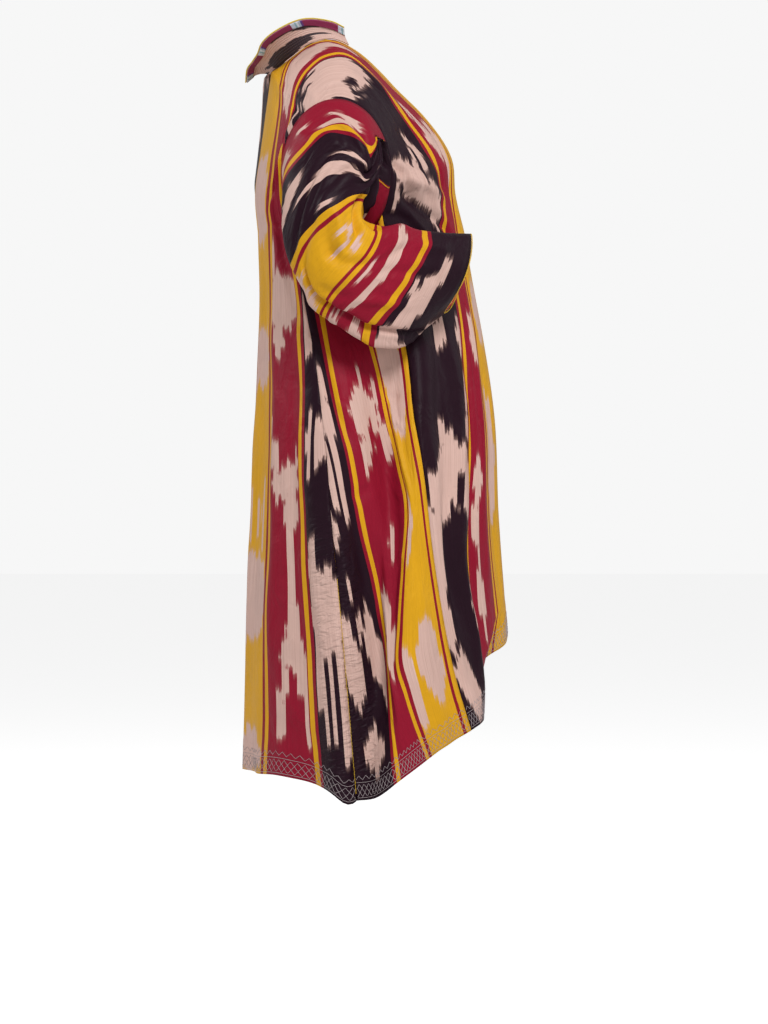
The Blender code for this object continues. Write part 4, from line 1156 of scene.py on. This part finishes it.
def sewn_thread(name, rows, size, wall, flip, stitch=0.0036):
    """Thread along each path, four-sided, lying on the wall's outer side and dipping into
    the cloth between stitches as the sine of the distance along it."""
    points, faces, start = [], [], 0
    for path, normal, along in rows:
        normal = unit(normal)
        side = unit(np.cross(normal, np.gradient(path, axis=0)))
        rise = wall / 2.0 + size * (0.75 * np.abs(np.sin(np.pi * along / stitch)) - 0.15)
        middle = path + normal * rise[:, None]
        ring = np.stack([middle + side * size / 2.0, middle + normal * size / 2.0,
                         middle - side * size / 2.0, middle - normal * size / 2.0], 1)
        index = start + np.arange(len(path) * 4).reshape(-1, 4)
        index = np.concatenate([index, index[:, :1]], 1)
        faces += cell_corners(index).reshape(-1, 4).tolist()
        faces += [index[0, 3::-1].tolist(), index[-1, :4].tolist()]
        points.append(ring.reshape(-1, 3))
        start += len(path) * 4
    points = np.concatenate(points)
    first = points[faces[0]]
    middle = points[:8].mean(0)
    face = np.cross(first[2] - first[0], first[3] - first[1])
    if (np.dot(face, first.mean(0) - middle) < 0.0) != flip:
        faces = [face[::-1] for face in faces]
    if flip:
        points = points * (-1, 1, 1)
    return mesh_object(name, points, faces, np.ones(len(faces), bool))


def zigzag(along, period, phase):
    """Triangle wave between -1 and 1."""
    return 4.0 * np.abs((along / period + phase) % 1.0 - 0.5) - 1.0


# Heights are above the hem; a zigzag runs its reach above and below its height
HEM_THREAD, STRAIGHT_ROWS = 0.0007, (0.027, 0.004)
WAVE_HEIGHT, WAVE_REACH, WAVE_PERIOD, WAVE_PHASE = 0.034, 0.0032, 0.0125, 0.3
LATTICE_HEIGHT, LATTICE_REACH, LATTICE_PERIOD = 0.0150, 0.0095, 0.026
LATTICE_PHASES = (0.0, 0.333, 0.667)
FIRST, LAST = slice(60), slice(None, -61, -1)    # rows from a hem to above its stitching
grey_thread = thread_finish("grey thread", hexed("BBAEAE"), hexed("877A80"), 0.5)
for side, hand in HANDS:
    sheet, out = length_sheets[side], length_out
    front = hem_table(sheet[FIRST], out[FIRST], (length_run - length_run[:1])[FIRST])
    back = hem_table(sheet[LAST], out[LAST], (length_run[-1:] - length_run)[LAST])
    low = hem_table(panel_sheets[side][LAST], panel_out[LAST],
                    (panel_run - panel_run[-1:])[LAST])
    for name, table, width in (("hem_thread_front_", front, length_width[0]),
                               ("hem_thread_back_", back, length_width[-1]),
                               ("hem_thread_panel_", low, panel_width[-1])):
        rows = [sewn_rows(table, width, lambda a: WAVE_HEIGHT
                          + WAVE_REACH * zigzag(a, WAVE_PERIOD, WAVE_PHASE))]
        rows += [sewn_rows(table, width, lambda a: high + 0.0 * a) for high in STRAIGHT_ROWS]
        rows += [sewn_rows(table, width, lambda a: LATTICE_HEIGHT + LATTICE_REACH * zigzag(
            a + 0.004 * np.sin(a * 19.0), LATTICE_PERIOD, phase)) for phase in LATTICE_PHASES]
        thread = sewn_thread(name + side, rows, HEM_THREAD, WALL, hand < 0.0)
        thread.data.materials.append(grey_thread)
        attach(thread, "root")

# Seam threads
# A yellow thread of the cloth's own selvedge shows down the back side seam, from below the
# upper back to the hem. It is twisted silk, caught down with small stitches.
SEAM_TOP = 1.23                # distance along the length from the front underarm
SEAM_INSET, SEAM_THREAD, SEAM_STITCH = 0.0014, 0.0011, 0.0055
for side, hand in HANDS:
    down = slice(int(np.argmax(length_run[:, -1] > SEAM_TOP)), -2)
    edge = length_sheets[side][down, -1] + unit(
        length_sheets[side][down, -2] - length_sheets[side][down, -1]) * SEAM_INSET
    run = length_run[down, -1]
    along = np.arange(run[0], run[-1], 0.0010)
    row = [at_run(along, run, field) for field in (edge, length_out[down, -1])] + [along]
    thread = sewn_thread("seam_thread_" + side, [row], SEAM_THREAD, WALL, hand < 0.0,
                         SEAM_STITCH)
    thread.data.materials.append(yellow_thread)
    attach(thread, "root")

# Collar
# A broad flared band of its own ikat, quilted with close rows of stitching so that it
# stands away from the neck. It is sewn on round the sides and back of the neckline.
COLLAR_START, COLLAR_WALL, COLLAR_LIFT, COLLAR_BELLY = 0.375, 0.0018, 0.0008, 0.006
# The collar's free edge, at the neckline's ways
COLLAR = columns("way x y z", (
    (0.375, -81, -32, 18), (0.47, -89, -12, 26), (0.6, -101, 32, 28), (0.7, -106, 64, 15),
    (0.78, -100, 88, 0), (0.84, -87, 99, -11), (0.88, -74, 104, -21), (0.92, -57, 113, -31),
    (0.96, -34, 122, -39), (1, 0, 126, -54),
), MM)
COLLAR_ROWS, COLLAR_COLUMNS = 121, 33      # rows from one end to the centre back
collar_way = np.linspace(COLLAR_START, 1.0, COLLAR_ROWS)
seam, free = curve(NECK, collar_way), curve(COLLAR, collar_way)
rise = unit(free - seam)
collar_out = unit(np.cross(rise, unit(np.gradient(seam, axis=0))))
collar_out *= np.where((collar_out[:, :1] * seam[:, :1]).sum() > 0.0, 1.0, -1.0)
neck_out = length_out[LOWER + FAN[0]:LOWER + FAN[0] + FAN[1] + 1, 0]
sewn_out = unit(at_run(collar_way, np.linspace(0.0, 1.0, FAN[1] + 1), neck_out))
root = seam + sewn_out * (WALL / 2.0 + SEAM_GAP + COLLAR_LIFT)
height = np.linalg.norm(free - root, axis=-1)


def collar_sheet(up):
    """The collar at shares of its height, with its mirror image, and its outward normals:
    straight from the seam to the free edge, less a belly of half a sine wave."""
    up = up[:, :, None]
    half = (root[:, None] * (1.0 - up) + free[:, None] * up
            - collar_out[:, None] * COLLAR_BELLY * np.sin(np.pi * up))
    middle = np.concatenate([half, (half * (-1, 1, 1))[-2::-1]])
    normals = unit(surface_normals(middle))
    if (normals[:COLLAR_ROWS - 1] * collar_out[:-1, None]).sum() < 0.0:
        normals = -normals
    return middle, normals


collar_share = np.linspace(0.0, 1.0, COLLAR_COLUMNS)
collar_middle, collar_normals = collar_sheet(collar_share[None])
collar_run = lie(collar_middle, COLLAR_ROWS - 1)
collar_up = collar_share * height.mean()


def collar_silk():
    """The collar's own ikat: pink-beige with soft black shapes, small stitches in rows."""
    made, tree, shader = new_material("collar silk")
    _, u, v = cloth_place(tree)
    reach = node(tree, "ShaderNodeAttribute", attribute_name="blot").outputs["Fac"]
    own = noise(tree, flat_vector(tree, times(tree, u, 700.0), times(tree, v, 30.0)), 1.0)
    black = soft_step(tree, maths(tree, "MULTIPLY_ADD", maths(tree, "SUBTRACT", own, 0.5),
                                  0.02, reach), -0.001, 0.001)
    ground = blend_colour(tree, own, PINK, PINK_LIT)
    colour = blend_colour(tree, black, ground, AUBERGINE)
    row, stitch = ridges(tree, u, 0.0032), ridges(tree, v, 0.0034)
    dot = times(tree, soft_step(tree, row, 0.75, 0.95), soft_step(tree, stitch, 0.0, 0.4))
    colour = blend_colour(tree, times(tree, dot, 0.55), colour, hexed("8A6A62"))
    feed(tree, shader, {"Base Color": colour, "Roughness": 0.62})
    relief(tree, shader, times(tree, row, -1.0), 0.5, 0.0005)
    return made


COLLAR_BLOTS = (
    # right half
    (8.5, -66, 10.5, 35, 5), (10, -108, 7.5, 26, 3), (12.5, -145, 2.4, 30, 2),
    (30, -172, 4.2, 36, 3), (26.2, -152, 2.2, 12, 2), (26.2, -166, 1.6, 8, 2),
    (31.5, -122, 1.6, 26, 2), (11, -24, 3.5, 10, 2),
    # left half
    (18, 60, 10, 28, 4), (10, 118, 7, 34, 3), (28, 176, 5, 30, 3), (30, 20, 4, 24, 2),
    (6, 205, 5, 20, 2), (6, 8, 4, 12, 2),
)
collar = cloth_wall("collar_cloth", collar_middle, collar_normals, COLLAR_WALL, collar_up,
                    collar_run, blot_distance(COLLAR_BLOTS, (), collar_up, collar_run, 0.006))
collar.data.materials.append(collar_silk())
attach(collar, "root")
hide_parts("collar")

# Collar braid
# Narrow tape woven in magenta with pale blue blocks, laid flat on the collar's outer side
# and sewn down along its free edge.
BRAID_WIDTH, BRAID_WALL, BRAID_LIFT, BRAID_COLUMNS = 0.011, 0.0012, 0.0005, 7
braid_across = np.linspace(BRAID_WIDTH, 0.0, BRAID_COLUMNS)
braid_flat, braid_normals = collar_sheet(1.0 - braid_across[None] / height[:, None])
braid_middle = braid_flat + braid_normals * (COLLAR_WALL / 2.0 + BRAID_LIFT
                                             + BRAID_WALL / 2.0)
braid_run = lie(braid_middle, COLLAR_ROWS - 1)[:, BRAID_COLUMNS // 2]
braid_run = np.repeat(braid_run[:, None], BRAID_COLUMNS, axis=1)


def braid_finish():
    """Woven tape: magenta with pale blue blocks on the length, slanting weave ridges."""
    made, tree, shader = new_material("woven braid")
    _, u, v = cloth_place(tree)
    block = maths(tree, "FRACT", maths(tree, "DIVIDE", maths(tree, "ADD", v, 1.0), 0.0775))
    colours = ramp(tree, block, [(0.0, hexed("8E1F50")), (0.64, hexed("5C3A86")),
                                 (0.685, hexed("AFC3D6")), (0.73, hexed("D8E2EA")),
                                 (0.77, hexed("8FB8C4")), (0.81, hexed("C9D3E2")),
                                 (0.89, hexed("8E1F50"))])
    weave = ridges(tree, maths(tree, "ADD", v, u), 0.0016)
    colour = blend_colour(tree, soft_step(tree, weave, 0.2, 1.0, 0.0, 0.35), colours,
                          hexed("3A1026"))
    feed(tree, shader, {"Base Color": colour, "Roughness": 0.6})
    relief(tree, shader, weave, 0.6, 0.0003)
    return made


braid = cloth_wall("braid", braid_middle, braid_normals, BRAID_WALL,
                   BRAID_WIDTH - braid_across, braid_run)
braid.data.materials.append(braid_finish())
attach(braid, "root")
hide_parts("collar_braid")

# Collar edging
# A thin cord of two twisted greenish-yellow strands, sewn over the collar's free edge
# beyond the braid.
EDGING_SIZE = 0.0022
edge_rise = unit(collar_middle[:, -1] - collar_middle[:, -2])
edge_side = collar_normals[:, -1] - edge_rise * (collar_normals[:, -1] * edge_rise).sum(
    -1, keepdims=True)
edge_path = collar_middle[:, -1] + edge_rise * (SEAM_GAP + EDGING_SIZE / 2.0)
edging = twisted_cord("edging", edge_path, unit(edge_side), edge_rise, EDGING_SIZE, CORD_STEP,
                      False)
edging.data.materials.append(thread_finish("edging thread", hexed("F0D034"), hexed("B7A42A"),
                                           0.5))
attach(edging, "root")
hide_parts("collar_edging")

# Floor, light and camera
# A pale floor and backdrop in place of the photo's white ground, one large lamp above the
# camera and to its right, two weak ones that rim the garment, and a camera at the photo's
# angle. The floor and the backdrop glow for the camera only, so they don't light the cloth.
FLOOR_Z, FLOOR_REACH, FLOOR_GLOW = -1.50, 30.0, 0.56
BACKDROP_LIGHT, BACKDROP_GLOW = 0.40, 0.53
CAMERA_DISTANCE, VIEW_HEIGHT, SENSOR = 4.5, 1.6384, 36.0    # view height is at the garment
WHITE = (1.0, 1.0, 1.0, 1.0)
corners = np.array([(x * FLOOR_REACH, y * FLOOR_REACH, FLOOR_Z)
                    for x, y in ((-1, -1), (1, -1), (1, 1), (-1, 1))])
floor = mesh_object("floor", corners, [(0, 1, 2, 3)], [False])
paint, tree, shader = new_material("floor paint")
seen = node(tree, "ShaderNodeLightPath").outputs["Is Camera Ray"]
feed(tree, shader, {"Base Color": (0.85, 0.85, 0.85, 1.0), "Roughness": 0.9,
                    "Specular IOR Level": 0.0, "Emission Color": WHITE,
                    "Emission Strength": times(tree, seen, FLOOR_GLOW)})
floor.data.materials.append(paint)

world = bpy.data.worlds.new("studio")
world.use_nodes = True
tree = world.node_tree
seen = node(tree, "ShaderNodeLightPath").outputs["Is Camera Ray"]
feed(tree, tree.nodes["Background"], {
    "Color": WHITE, "Strength": maths(tree, "MULTIPLY_ADD", seen, BACKDROP_GLOW,
                                      BACKDROP_LIGHT)})
bpy.context.scene.world = world
bpy.context.scene.view_settings.view_transform = "Standard"


def soft_light(name, place, target, size, power):
    """Square area light aimed at a point."""
    lamp = bpy.data.lights.new(name, "AREA")
    lamp.shape, lamp.size, lamp.energy = "SQUARE", size, power
    made = bpy.data.objects.new(name, lamp)
    made.location = place
    aim = unit(np.array(target, float) - np.array(place, float))
    made.rotation_euler = (float(np.arccos(-aim[2])), 0.0,
                           float(np.arctan2(aim[1], aim[0]) - np.pi / 2.0))
    bpy.context.collection.objects.link(made)
    return made


soft_light("key", (-3.4, -1.0, 2.2), (0.0, -0.1, -0.5), 1.3, 136.0)
soft_light("back rim", (0.8, 3.0, 1.0), (0.0, 0.0, -0.5), 2.0, 42.0)
soft_light("front rim", (0.5, -3.2, 0.6), (0.0, 0.0, -0.5), 2.0, 14.0)

camera_data = bpy.data.cameras.new("camera")
camera_data.sensor_fit, camera_data.sensor_height = "VERTICAL", SENSOR
camera_data.lens = SENSOR * CAMERA_DISTANCE / VIEW_HEIGHT
camera = bpy.data.objects.new("camera", camera_data)
camera.location = (-CAMERA_DISTANCE, -0.0944, -0.7424)
camera.rotation_euler = (np.pi / 2.0, 0.0, -np.pi / 2.0)
bpy.context.collection.objects.link(camera)
bpy.context.scene.camera = camera
